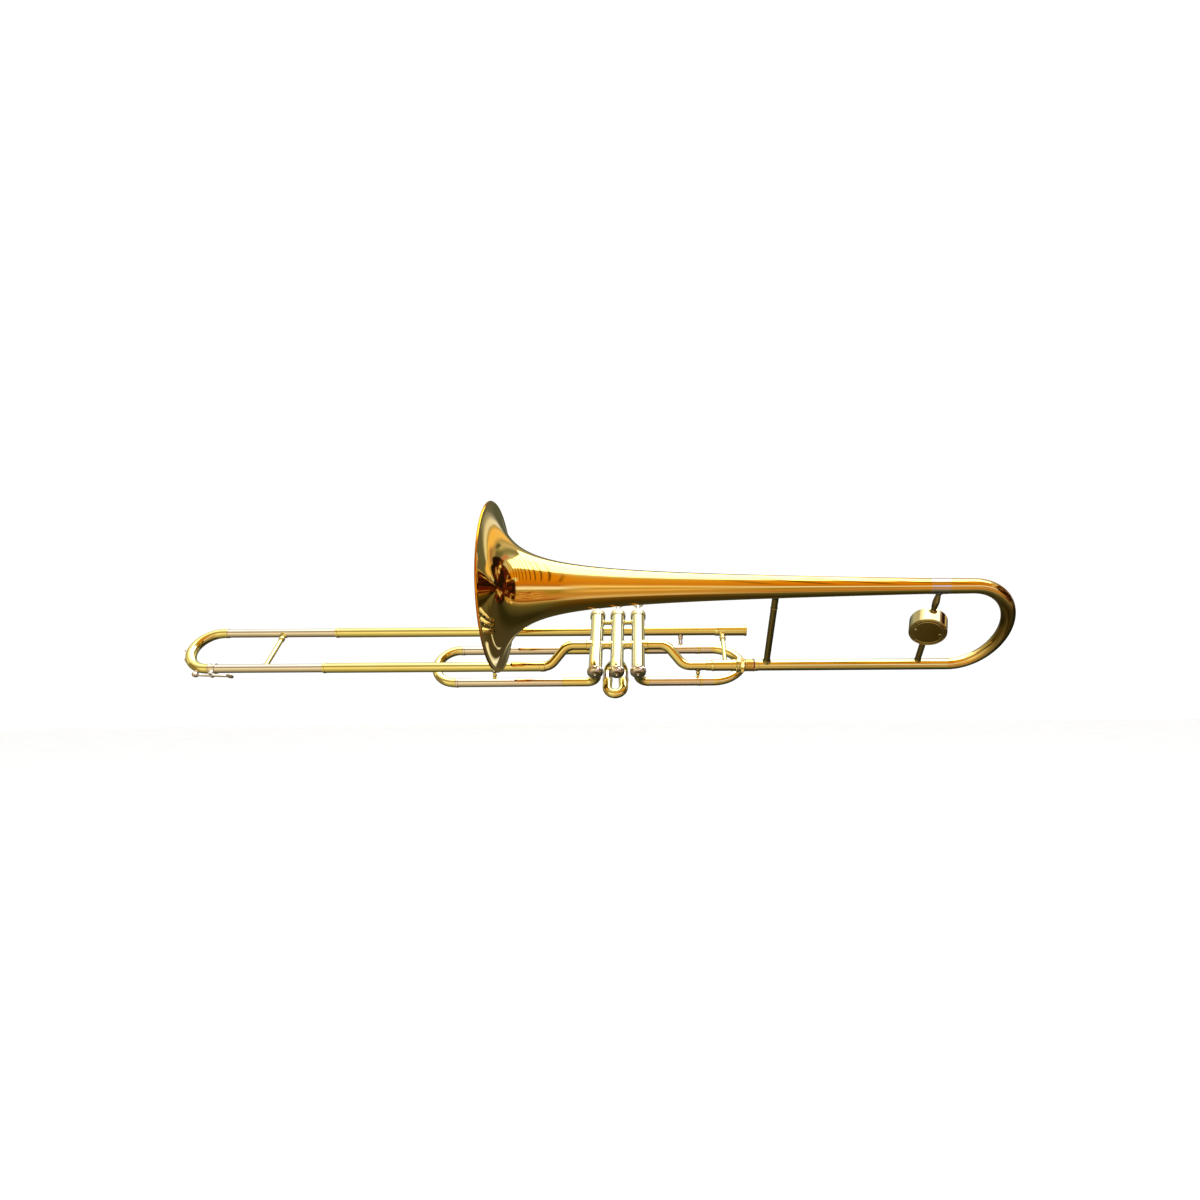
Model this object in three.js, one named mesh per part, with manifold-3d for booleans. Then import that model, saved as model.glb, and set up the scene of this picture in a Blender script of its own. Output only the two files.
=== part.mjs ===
// B-flat valve trombone: three piston valves, a front tuning slide and a bell section with a turning lock.
// Millimetres. +X runs from the bell's mouth towards the player, +Z is up, +Y points away from the viewer.
// The origin is the middle of the second valve casing, where the left hand holds the instrument.
import * as THREE from 'three';
import Module from 'manifold-3d';
import { mergeVertices } from 'three/addons/utils/BufferGeometryUtils.js';

const wasm = await Module();
wasm.setup();

// ---- driving dimensions ----
const VALVE_LEAN = THREE.MathUtils.degToRad(37);   // valve plane leans away at the top
const BELL_LEAN = THREE.MathUtils.degToRad(39);    // bell plane leans towards the viewer at the top
const SLIDE_SPACING = 65.5;                        // leadpipe above the lower main tube
const BELL_SPACING = 124.5;                        // bell axis from the lower main tube
const GAP = 0.3;                                   // between pieces that touch
const BORE_R = 5.6;
const LEG_R = 6.1;                                 // inner legs of the tuning slide
const SLEEVE_R = 6.9;                              // outer tubes that the legs slide in
const SLEEVE_BORE_R = 6.45;
const BEND_TUBE_R = 6.6;                           // S-bends beside the valves
const TUBE_SIDES = 10;

const CASING_PITCH = 29;
const CASING_Y = -19;                              // casing axes, in front of the main tubes
const CASING_MID_Z = 31;
const CASING_R = 9.1;
const CASING_BORE_R = 8.35;
const CASING_BOTTOM_Z = -24;
const CASING_TOP_Z = 78;
const CAP_R = 10.9;
const PORT_Z = 22;                                 // main line through the valves
const CROSSOVER_R = 5.3;
const CASING_BRACE_Z = 64.5;
const BOTTOM_CAP_Z = [-22.9, -31.2];               // from its rim down to its tip
const CAP_FLOOR_Z = -29.5;
const TOP_CAP_Z = [73, 83];
const PISTON_R = 8.0;
const PISTON_TRAVEL = 16;
const PISTON_Z = [-12.3, 70];
const BUTTON_R = 8.4;

const BOW_X = -569;                                // where the tuning bow starts to bend
const BOW_R = 6.7;
const LEG_END_X = -330;
const SLEEVE_START_X = -408;
const RECEIVER_X = [141, 186.3];                   // mouthpiece receiver, from and to
const RECEIVER_R = 7.65;
const RECEIVER_BRACE_X = 150.7;
const TUNING_BRACE_X = [-490, -482];               // at the lower leg and at the upper
const LOCK_X = [130.6, 165.3];                     // lock receiver, from and to
const LOCK_R = 7.8;
const NUT_X = [165.6, 178];
const NECK_X = [191, 459.7];
const CROOK_X = 460;                               // where the rear crook starts to bend
const BELL_RIM_X = -149.5;
const BELL_END_X = 402.7;
const FERRULE_X = [403, 427];
const NECK_R = 7.8;
const TAIL_R = 10.1;
const BELL_BRACE_X = 207.5;
const DRUM_X = 418;
const DRUM_R = 24;
const DRUM_TIP = THREE.MathUtils.degToRad(51);     // how far the drum's face looks down from the viewer
const DRUM_SWING = THREE.MathUtils.degToRad(18);   // and how far it is swung along X

const LOOP_Y = 18;                                 // first and third valve slides, behind the main tubes
const LOOP_TOP_Z = 45.2;
const LOOP_BOTTOM_Z = -13.6;
const LOOP_R = 6.4;
const LOOP_LEG_R = 5.6;
const LOOP_BORE_R = 5.1;
const LOOP_SLEEVE_BORE_R = 5.95;
const ELBOW_R = 14;
const FIRST_SLEEVE_END_X = 115.7;
const THIRD_SLEEVE_END_X = -226;
const FIRST_UPPER_BRACE_X = 90.5;
const FIRST_LOWER_BRACE_X = 112.5;
const THIRD_BRACE_X = -171.5;
const SECOND_LEGS = [8.9, -12.9];                  // the second slide's legs along X from the casing axis
const SECOND_BACK = 15.5;                          // and behind it
const SECOND_PORT_Z = -7;
const SECOND_SLEEVE_END_Z = -28.2;

// ---- materials ----
const finish = (color, roughness, metalness) => () =>
  new THREE.MeshStandardMaterial({ color, roughness, metalness });
const brass = finish(0xd9a33c, 0.16, 1);
const nickel = finish(0xcfc8b4, 0.18, 1);
const steel = finish(0x8d8c88, 0.3, 1);
const cork = finish(0xa9855a, 0.9, 0);

// ---- geometry helpers ----

// Keeps only positions, joins shared points, drops empty triangles and turns the faces outwards.
function closed(geometry) {
  const bare = geometry.clone();
  bare.deleteAttribute('normal');
  bare.deleteAttribute('uv');
  const merged = mergeVertices(bare, 1e-4);
  const at = merged.attributes.position;
  const source = merged.index.array;
  const [a, b, c] = [new THREE.Vector3(), new THREE.Vector3(), new THREE.Vector3()];
  const faces = [];
  let volume = 0;
  for (let i = 0; i < source.length; i += 3) {
    const [p, q, r] = [source[i], source[i + 1], source[i + 2]];
    if (p === q || q === r || r === p) continue;
    a.fromBufferAttribute(at, p);
    b.fromBufferAttribute(at, q);
    c.fromBufferAttribute(at, r);
    volume += a.dot(b.cross(c));
    faces.push([p, q, r]);
  }
  const ordered = volume < 0 ? faces.map(([p, q, r]) => [p, r, q]) : faces;
  merged.setIndex(ordered.flat());
  return merged;
}

// A turned piece along +X. Each profile point is [x, radius], from axis to axis or round a closed loop.
function turned(profile, sides = TUBE_SIDES) {
  const points = profile.map(([x, r]) => new THREE.Vector2(r, x));
  const onAxis = profile[0][1] === 0 && profile.at(-1)[1] === 0;
  if (!onAxis) points.push(points[0].clone());
  return closed(new THREE.LatheGeometry(points, sides).rotateZ(-Math.PI / 2));
}

const pipe = (length, outer, inner, sides) =>
  turned([[0, outer], [length, outer], [length, inner], [0, inner]], sides);

// Distances along a path at its corners and at even steps round each arc.
function stations(path, arcSteps) {
  const marks = [0];
  for (const curve of path.curves) {
    const steps = curve.isLineCurve ? 1 : arcSteps;
    const start = marks.at(-1);
    for (let i = 1; i <= steps; i++) marks.push(start + curve.getLength() * i / steps);
  }
  return marks;
}

// Wraps a turned tube round a flat path. u and v are the path's two directions in space.
function bent(path, profile, u, v, sides = TUBE_SIDES) {
  const geometry = turned(profile, sides);
  const at = geometry.attributes.position;
  const total = path.getLength();
  const side = new THREE.Vector3().crossVectors(u, v);
  for (let i = 0; i < at.count; i++) {
    const t = THREE.MathUtils.clamp(at.getX(i) / total, 0, 1);
    const centre = path.getPoint(t);
    const tangent = path.getTangent(t);
    const normal = new THREE.Vector2(-tangent.y, tangent.x);
    const out = at.getY(i);
    const across = at.getZ(i);
    const place = new THREE.Vector3()
      .addScaledVector(u, centre.x + normal.x * out)
      .addScaledVector(v, centre.y + normal.y * out)
      .addScaledVector(side, across);
    at.setXYZ(i, place.x, place.y, place.z);
  }
  return closed(geometry);
}

// A tube's profile through the given stations. Radii are numbers or functions of the distance.
function wall(marks, outer, inner) {
  const radius = (rule, s) => (typeof rule === 'function' ? rule(s) : rule);
  const outside = marks.map((s) => [s, radius(outer, s)]);
  const inside = marks.map((s) => [s, radius(inner, s)]).reverse();
  return [...outside, ...inside];
}

const X = new THREE.Vector3(1, 0, 0);
const Y = new THREE.Vector3(0, 1, 0);
const Z = new THREE.Vector3(0, 0, 1);

function solid(geometry) {
  const g = closed(geometry);
  const mesh = new wasm.Mesh({
    numProp: 3,
    vertProperties: new Float32Array(g.attributes.position.array),
    triVerts: new Uint32Array(g.index.array),
  });
  return new wasm.Manifold(mesh);
}

function geometryOf(manifold) {
  const mesh = manifold.getMesh();
  const geometry = new THREE.BufferGeometry();
  geometry.setAttribute('position', new THREE.BufferAttribute(new Float32Array(mesh.vertProperties), 3));
  geometry.setIndex(new THREE.BufferAttribute(new Uint32Array(mesh.triVerts), 1));
  return geometry;
}

// A plain drill along a direction, used to cut ports and holes.
function drill(radius, length, direction, start, sides = 10) {
  const bit = new THREE.CylinderGeometry(radius, radius, length, sides).translate(0, length / 2, 0);
  bit.applyQuaternion(new THREE.Quaternion().setFromUnitVectors(Y, direction.clone().normalize()));
  return solid(bit.translate(...start));
}

function cut(geometry, drills) {
  return geometryOf(drills.reduce((body, bit) => body.subtract(bit), solid(geometry)));
}

// ---- frames: both turn about the lower main tube ----
const trombone = new THREE.Group();
const lowerTube = new THREE.Group();
lowerTube.position.copy(new THREE.Vector3(0, -CASING_Y, -CASING_MID_Z).applyAxisAngle(X, -VALVE_LEAN));
const valvePlane = new THREE.Group();
valvePlane.rotation.x = -VALVE_LEAN;
const bellPlane = new THREE.Group();
bellPlane.rotation.x = BELL_LEAN;
lowerTube.add(valvePlane, bellPlane);
trombone.add(lowerTube);

function add(name, geometry, material, parent, position = [0, 0, 0]) {
  const mesh = new THREE.Mesh(geometry, material());
  mesh.name = name;
  mesh.position.set(...position);
  parent.add(mesh);
  return mesh;
}

// Stands a turned piece up along +Z.
const upright = (geometry) => geometry.rotateY(-Math.PI / 2);

// A strut with a flange at each end, along +X before it is placed.
function strut(length, rod, flange, sides = 8) {
  const foot = Math.min(2.2, length / 4);
  return turned([
    [0, 0], [0, flange], [foot, rod * 1.15], [foot, rod],
    [length - foot, rod], [length - foot, rod * 1.15], [length, flange], [length, 0],
  ], sides);
}

// Places a strut between two axes, clear of the tube radius at each end.
function brace(name, from, to, { clearFrom, clearTo, rod, flange }, material, parent, shape = strut) {
  const start = new THREE.Vector3(...from);
  const run = new THREE.Vector3(...to).sub(start);
  const direction = run.clone().normalize();
  const length = run.length() - clearFrom - clearTo - 2 * GAP;
  const mesh = add(name, shape(length, rod, flange), material, parent);
  mesh.quaternion.setFromUnitVectors(X, direction);
  mesh.position.copy(start).addScaledVector(direction, clearFrom + GAP);
}

// ---- main tubing ----
function mainTubing() {
  const leadpipeLength = RECEIVER_X[0] - GAP - SLEEVE_START_X;
  add('leadpipe', pipe(leadpipeLength, SLEEVE_R, SLEEVE_BORE_R), brass, valvePlane,
    [SLEEVE_START_X, 0, SLIDE_SPACING]);

  const length = RECEIVER_X[1] - RECEIVER_X[0];
  const mouth = 6.3;
  const profile = [
    [0, 7.3], [1.5, RECEIVER_R], [length - 3.2, RECEIVER_R], [length - 3.2, 8.1], [length, 8.1],
    [length, mouth], [0, BORE_R],
  ];
  add('mouthpiece_receiver', turned(profile, 16), brass, valvePlane, [RECEIVER_X[0], 0, SLIDE_SPACING]);

  brace('receiver_brace', [RECEIVER_BRACE_X, 0, SLIDE_SPACING], [RECEIVER_BRACE_X, 0, 0],
    { clearFrom: RECEIVER_R, clearTo: LOCK_R, rod: 3.3, flange: 5 }, brass, valvePlane);

  // S-bends between the lower tube's axis and the casings' ports.
  const turn = THREE.MathUtils.degToRad(50);
  const bendR = 20;
  const rise = Math.hypot(CASING_Y, PORT_Z);
  const slope = (rise - 2 * bendR * (1 - Math.cos(turn))) / Math.sin(turn);
  const span = 2 * bendR * Math.sin(turn) + slope * Math.cos(turn);
  const up = new THREE.Vector3(0, CASING_Y, PORT_Z).normalize();
  const casingSide = CASING_PITCH + CASING_R + GAP;

  function sBend(name, straight, reach, mirror) {
    const path = new THREE.Path();
    path.moveTo(0, 0).lineTo(straight, 0);
    path.absarc(straight, bendR, bendR, -Math.PI / 2, -Math.PI / 2 + turn, false);
    const low = path.currentPoint.clone();
    path.lineTo(low.x + slope * Math.cos(turn), low.y + slope * Math.sin(turn));
    path.absarc(straight + span, rise - bendR, bendR, Math.PI / 2 + turn, Math.PI / 2, true);
    path.lineTo(straight + span + reach, rise);
    const marks = stations(path, 3);
    const along = new THREE.Vector3(mirror, 0, 0);
    const start = -mirror * (casingSide + reach + span + straight);
    add(name, bent(path, wall(marks, BEND_TUBE_R, BORE_R), along, up), brass, valvePlane, [start, 0, 0]);
    return start;
  }
  const thirdReach = 22;
  const firstReach = 20.5;
  const bendStart = sBend('valve_3_bend', 4, thirdReach, 1);
  sBend('valve_1_bend', LOCK_X[0] - GAP - casingSide - firstReach - span, firstReach, -1);
  const tubeLength = bendStart - GAP - SLEEVE_START_X;
  const lowerTube = pipe(tubeLength, SLEEVE_R, SLEEVE_BORE_R);
  add('lower_slide_tube', lowerTube, brass, valvePlane, [SLEEVE_START_X, 0, 0]);
}

// ---- tuning slide and water key ----
function tuningSlide() {
  const radius = SLIDE_SPACING / 2;
  const path = new THREE.Path();
  path.moveTo(6, SLIDE_SPACING).lineTo(0, SLIDE_SPACING);
  path.absarc(0, radius, radius, Math.PI / 2, Math.PI * 1.5, false);
  path.lineTo(6, 0);
  const bow = bent(path, wall(stations(path, 8), BOW_R, BORE_R), X, Z);
  add('tuning_bow', bow, brass, valvePlane, [BOW_X, 0, 0]);

  const legStart = BOW_X + 6 + GAP;
  for (const [name, z] of [['tuning_leg_upper', SLIDE_SPACING], ['tuning_leg_lower', 0]]) {
    add(name, pipe(LEG_END_X - legStart, LEG_R, BORE_R), nickel, valvePlane, [legStart, 0, z]);
  }
  const [braceLow, braceHigh] = TUNING_BRACE_X;
  brace('tuning_brace', [braceLow, 0, 0], [braceHigh, 0, SLIDE_SPACING],
    { clearFrom: LEG_R + 0.6, clearTo: LEG_R + 0.6, rod: 3, flange: 4.4 }, brass, valvePlane);

  // Guard strip round the end of the bow, with a small stud.
  const inner = radius + BOW_R + GAP;
  const outer = inner + 1;
  const spread = THREE.MathUtils.degToRad(32);
  const width = 7;
  const strip = new THREE.Shape();
  strip.absarc(0, 0, outer, Math.PI - spread, Math.PI + spread, false);
  strip.absarc(0, 0, inner, Math.PI + spread, Math.PI - spread, true);
  const band = new THREE.ExtrudeGeometry(strip, { depth: width, bevelEnabled: false, curveSegments: 8 });
  band.rotateX(Math.PI / 2).translate(0, width / 2, 0);
  const stud = turned([[0, 0], [0, 1.6], [2, 2.4], [3.5, 2.4], [4.2, 0]], 8)
    .rotateZ(Math.PI).translate(-inner - 0.4, 0, 0);
  add('bow_guard', geometryOf(solid(band).add(solid(stud))), nickel, valvePlane, [BOW_X, 0, radius]);

  // Water key under the lower leg: a saddle with two ears, a pin, a rocking lever and its cork.
  const hingeX = -559;
  const hingeZ = -10.8;
  const pinR = 0.9;
  const earTop = -LEG_R - GAP;
  const saddle = new THREE.Shape();
  saddle.moveTo(-4.6, earTop).lineTo(4.6, earTop).lineTo(4.6, hingeZ - 2.4).lineTo(2.4, hingeZ - 2.4);
  saddle.lineTo(2.4, earTop - 1.3).lineTo(-2.4, earTop - 1.3).lineTo(-2.4, hingeZ - 2.4);
  saddle.lineTo(-4.6, hingeZ - 2.4).closePath();
  const ears = new THREE.ExtrudeGeometry(saddle, { depth: 5, bevelEnabled: false });
  ears.rotateX(Math.PI / 2).rotateZ(Math.PI / 2).translate(-2.5, 0, 0);
  const pinHole = drill(pinR + 0.2, 20, Y, [0, -10, hingeZ]);
  add('water_key_saddle', cut(ears, [pinHole]), nickel, valvePlane, [hingeX, 0, 0]);
  const pin = turned([
    [-5.6, 0], [-5.6, 1.6], [-4.9, 1.6], [-4.9, pinR], [5.2, pinR], [5.2, 0],
  ], 8).rotateZ(Math.PI / 2);
  add('water_key_pin', pin, steel, valvePlane, [hingeX, 0, hingeZ]);

  const bar = new THREE.Shape();
  bar.moveTo(-22, -1.2).lineTo(-3, -2).lineTo(3, -2).lineTo(20, -3.2).lineTo(28, -3.6);
  bar.lineTo(28, -2.2).lineTo(20, -1.8).lineTo(3, 2).lineTo(-3, 2).lineTo(-22, -0.5).closePath();
  const rocker = new THREE.ExtrudeGeometry(bar, { depth: 3.6, bevelEnabled: false });
  rocker.rotateX(Math.PI / 2).translate(0, 1.8, 0);
  const cup = upright(turned([
    [-2, 0], [-2, 3.4], [-0.4, 4.2], [2.4, 4.2], [2.4, 3.6], [0.4, 3.6], [0.4, 0],
  ]));
  const paddle = upright(turned([[-3.6, 0], [-3.6, 4.6], [-2.2, 4.6], [-2.2, 0]])).translate(27, 0, 0);
  const cupX = -22;
  const lever = solid(rocker).add(solid(cup.translate(cupX, 0, -0.4))).add(solid(paddle));
  const hole = drill(pinR + 0.2, 20, Y, [0, -10, 0]);
  add('water_key_lever', geometryOf(lever.subtract(hole)), nickel, valvePlane, [hingeX, 0, hingeZ]);
  const plug = upright(turned([[0.3, 0], [0.3, 3.3], [3, 3.3], [3.4, 2.8], [3.4, 0]]));
  add('water_key_cork', plug, cork, valvePlane, [hingeX + cupX, 0, hingeZ]);
}

// ---- valves ----
function valves() {
  const portR = 5;
  const across = [[X, PORT_Z], [X.clone().negate(), PORT_Z]];
  const behind = [[Y, LOOP_TOP_Z], [Y, LOOP_BOTTOM_Z]];
  const aside = SECOND_LEGS.map((x) => [new THREE.Vector3(x, SECOND_BACK, 0), SECOND_PORT_Z]);
  const ports = { 1: [...across, ...behind], 2: [...across, ...aside], 3: [...across, ...behind] };

  const capBore = 9.45;
  const [rimZ, tipZ] = BOTTOM_CAP_Z;
  const bottomCap = [
    [tipZ, 1.2], [tipZ + 0.1, 3.5], [tipZ + 0.6, 7], [tipZ + 1.8, 10.2], [tipZ + 3, CAP_R], [rimZ, CAP_R],
    [rimZ, capBore], [CAP_FLOOR_Z + 0.6, capBore], [CAP_FLOOR_Z, 8.8], [CAP_FLOOR_Z, 1.2],
  ];
  const [skirtZ, crownZ] = TOP_CAP_Z;
  const stemHole = 3.6;
  const topCap = [
    [skirtZ, capBore], [skirtZ, 10.5], [skirtZ + 1.2, CAP_R], [crownZ - 2, CAP_R], [crownZ, 9.6],
    [crownZ, stemHole], [crownZ - 3, stemHole], [crownZ - 3, capBore],
  ];
  const [pistonBottom, pistonTop] = PISTON_Z;
  const pistonBore = 7.2;
  const webZ = -2;
  const webBottom = webZ - 1.4;
  const piston = [
    [pistonTop, 0], [pistonTop, PISTON_R - 0.5], [pistonTop - 1, PISTON_R], [pistonBottom, PISTON_R],
    [pistonBottom, pistonBore], [webBottom, pistonBore], [webBottom, 1.5], [webZ, 1.5], [webZ, pistonBore],
    [pistonTop - 2, pistonBore], [pistonTop - 2, 0],
  ];
  const springBottom = CAP_FLOOR_Z + GAP;
  const springTop = webBottom - PISTON_TRAVEL - GAP;
  const stemR = 2.4;
  const buttonZ = crownZ + PISTON_TRAVEL + 0.8;
  const button = [
    [pistonTop + GAP, 0], [pistonTop + GAP, 4.5], [pistonTop + 2, 4.5], [pistonTop + 2, stemR],
    [buttonZ, stemR], [buttonZ, BUTTON_R - 1.4], [buttonZ + 1, BUTTON_R], [buttonZ + 3.6, BUTTON_R],
    [buttonZ + 4.6, BUTTON_R - 1], [buttonZ + 4, 0],
  ];

  for (const number of [1, 2, 3]) {
    const place = [(2 - number) * CASING_PITCH, CASING_Y, 0];
    const at = (profile, sides) => upright(turned(profile, sides));
    const tube = at([
      [CASING_BOTTOM_Z, CASING_R], [CASING_TOP_Z, CASING_R],
      [CASING_TOP_Z, CASING_BORE_R], [CASING_BOTTOM_Z, CASING_BORE_R],
    ], 14);
    const holes = ports[number].map(([way, z]) => drill(portR, 14, way, [0, 0, z], 8));
    add(`valve_casing_${number}`, cut(tube, holes), nickel, valvePlane, place);
    add(`top_cap_${number}`, at(topCap, 14), nickel, valvePlane, place);
    add(`bottom_cap_${number}`, at(bottomCap, 14), nickel, valvePlane, place);

    // The piston's open path at rest is the port across; pressed, the ports to the slide come level.
    const rest = drill(portR, 24, X, [-12, 0, PORT_Z], 8);
    const pressed = drill(portR, 24, X, [-12, 0, PORT_Z + PISTON_TRAVEL], 8);
    const upper = drill(portR, 12, Y, [0, 0, LOOP_TOP_Z + PISTON_TRAVEL], 8);
    add(`piston_${number}`, cut(at(piston, 10), [rest, pressed, upper]), steel, valvePlane, place);
    add(`valve_spring_${number}`, at([
      [springBottom, 5], [springTop, 5], [springTop, 3.8], [springBottom, 3.8],
    ], 8), steel, valvePlane, place);
    add(`finger_button_${number}`, at(button), nickel, valvePlane, place);
  }

  const room = CASING_PITCH - 2 * CASING_R - 2 * GAP;
  for (const [pair, x] of [['12', CASING_PITCH / 2], ['23', -CASING_PITCH / 2]]) {
    const knuckle = turned([
      [0, 6], [2, 6], [2, CROSSOVER_R], [room - 2, CROSSOVER_R], [room - 2, 6], [room, 6],
      [room, 4.6], [0, 4.6],
    ]);
    add(`crossover_${pair}`, knuckle, brass, valvePlane, [x - room / 2, CASING_Y, PORT_Z]);
    const spindle = turned([
      [0, 0], [0, 4], [1.4, 4], [2.2, 2], [3.4, 3.4], [5, 2], [room - 5, 2], [room - 3.4, 3.4],
      [room - 2.2, 2], [room - 1.4, 4], [room, 4], [room, 0],
    ], 8);
    add(`casing_brace_${pair}`, spindle, brass, valvePlane, [x - room / 2, CASING_Y, CASING_BRACE_Z]);
  }
}

// ---- valve slides ----
function valveSlides() {
  // An elbow leaves the back of a casing along +Y and turns along the slide's direction.
  function backSleeve(name, casingX, z, way, endX, material) {
    const start = CASING_Y + CASING_R + GAP;
    const path = new THREE.Path();
    path.moveTo(0, start).lineTo(0, LOOP_Y - ELBOW_R);
    path.absarc(ELBOW_R, LOOP_Y - ELBOW_R, ELBOW_R, Math.PI, Math.PI / 2, true);
    path.lineTo(Math.abs(endX - casingX), LOOP_Y);
    const profile = wall(stations(path, 3), LOOP_R, LOOP_SLEEVE_BORE_R);
    add(name, bent(path, profile, X.clone().multiplyScalar(way), Y), material, valvePlane, [casingX, 0, z]);
  }
  for (const [side, z] of [['upper', LOOP_TOP_Z], ['lower', LOOP_BOTTOM_Z]]) {
    backSleeve(`slide_1_${side}_sleeve`, CASING_PITCH, z, 1, FIRST_SLEEVE_END_X, nickel);
    backSleeve(`slide_3_${side}_sleeve`, -CASING_PITCH, z, -1, THIRD_SLEEVE_END_X, nickel);
  }

  // A crook: inner legs that slide in the sleeves, and the bend outside them at the sleeves' size.
  function crook(name, path, legLength, u, v, position, parent = valvePlane) {
    const total = path.getLength();
    const inside = (s) => s < legLength - 0.01 || s > total - legLength + 0.01;
    const marks = stations(path, 4);
    const outer = [];
    for (const s of marks) {
      const step = Math.abs(s - legLength) < 0.01 || Math.abs(s - total + legLength) < 0.01;
      const first = s < total / 2;
      if (step) outer.push([s, first ? LOOP_LEG_R : LOOP_R], [s, first ? LOOP_R : LOOP_LEG_R]);
      else outer.push([s, inside(s) ? LOOP_LEG_R : LOOP_R]);
    }
    const inner = marks.map((s) => [s, LOOP_BORE_R]).reverse();
    add(name, bent(path, [...outer, ...inner], u, v), brass, parent, position);
  }

  const half = (LOOP_TOP_Z - LOOP_BOTTOM_Z) / 2;
  const midZ = (LOOP_TOP_Z + LOOP_BOTTOM_Z) / 2;

  // Third slide: a round crook towards the bell's mouth.
  const legThird = 74;
  const round = new THREE.Path();
  const straightThird = 2;
  round.moveTo(-legThird, half).lineTo(0, half).lineTo(straightThird, half);
  round.absarc(straightThird, 0, half, Math.PI / 2, 0, true);
  round.absarc(straightThird, 0, half, 0, -Math.PI / 2, true);
  round.lineTo(0, -half).lineTo(-legThird, -half);
  const thirdStart = THIRD_SLEEVE_END_X - GAP;
  crook('slide_3_crook', round, legThird, X.clone().negate(), Z, [thirdStart, LOOP_Y, midZ]);

  // First slide: a pointed crook, two long arcs and a tight tip, towards the player.
  const legFirst = 52;
  const sweep = THREE.MathUtils.degToRad(50);
  const tipR = 18.5;
  const armR = (half - tipR * Math.cos(sweep)) / (1 - Math.cos(sweep));
  const straightFirst = 18.5;
  const pointed = new THREE.Path();
  pointed.moveTo(-legFirst, half).lineTo(0, half).lineTo(straightFirst, half);
  pointed.absarc(straightFirst, half - armR, armR, Math.PI / 2, Math.PI / 2 - sweep, true);
  const tipX = straightFirst + (armR - tipR) * Math.sin(sweep);
  pointed.absarc(tipX, 0, tipR, Math.PI / 2 - sweep, sweep - Math.PI / 2, true);
  pointed.absarc(straightFirst, armR - half, armR, sweep - Math.PI / 2, -Math.PI / 2, true);
  pointed.lineTo(0, -half).lineTo(-legFirst, -half);
  crook('slide_1_crook', pointed, legFirst, X, Z, [FIRST_SLEEVE_END_X + GAP, LOOP_Y, midZ]);

  // Second slide: a short crook that hangs below the middle casing.
  const knuckleR = 8;
  const [rightLeg, leftLeg] = SECOND_LEGS;
  for (const [side, x] of [['right', rightLeg], ['left', leftLeg]]) {
    const reach = Math.hypot(x, SECOND_BACK);
    const path = new THREE.Path();
    path.moveTo(CASING_R + GAP + 0.2, SECOND_PORT_Z).lineTo(reach - knuckleR, SECOND_PORT_Z);
    path.absarc(reach - knuckleR, SECOND_PORT_Z - knuckleR, knuckleR, Math.PI / 2, 0, true);
    path.lineTo(reach, SECOND_SLEEVE_END_Z);
    const way = new THREE.Vector3(x, SECOND_BACK, 0).normalize();
    const shape = bent(path, wall(stations(path, 3), LOOP_R, LOOP_SLEEVE_BORE_R), way, Z);
    add(`slide_2_${side}_sleeve`, shape, nickel, valvePlane, [0, CASING_Y, 0]);
  }
  const legSecond = 11;
  const drop = 11.5;
  const bowR = (rightLeg - leftLeg) / 2;
  const hanging = new THREE.Path();
  hanging.moveTo(bowR, legSecond).lineTo(bowR, 0).lineTo(bowR, -drop);
  hanging.absarc(0, -drop, bowR, 0, -Math.PI / 2, true);
  hanging.absarc(0, -drop, bowR, -Math.PI / 2, -Math.PI, true);
  hanging.lineTo(-bowR, 0).lineTo(-bowR, legSecond);
  const hangFrom = [(rightLeg + leftLeg) / 2, CASING_Y + SECOND_BACK, SECOND_SLEEVE_END_Z - GAP];
  crook('slide_2_crook', hanging, legSecond, X, Z, hangFrom);

  const upperLeg = (x) => [x, LOOP_Y, LOOP_TOP_Z];
  const lowerLeg = (x) => [x, LOOP_Y, LOOP_BOTTOM_Z];
  brace('slide_1_upper_brace', [FIRST_UPPER_BRACE_X, 0, SLIDE_SPACING], upperLeg(FIRST_UPPER_BRACE_X),
    { clearFrom: SLEEVE_R, clearTo: LOOP_R, rod: 2.8, flange: 3.8 }, nickel, valvePlane);
  brace('slide_1_lower_brace', [FIRST_LOWER_BRACE_X, 0, 0], lowerLeg(FIRST_LOWER_BRACE_X),
    { clearFrom: BEND_TUBE_R, clearTo: LOOP_R, rod: 2.2, flange: 3.4 }, brass, valvePlane);
  brace('slide_3_brace', [THIRD_BRACE_X, 0, 0], lowerLeg(THIRD_BRACE_X),
    { clearFrom: SLEEVE_R, clearTo: LOOP_R, rod: 2.2, flange: 3.4 }, brass, valvePlane);
}

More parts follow.
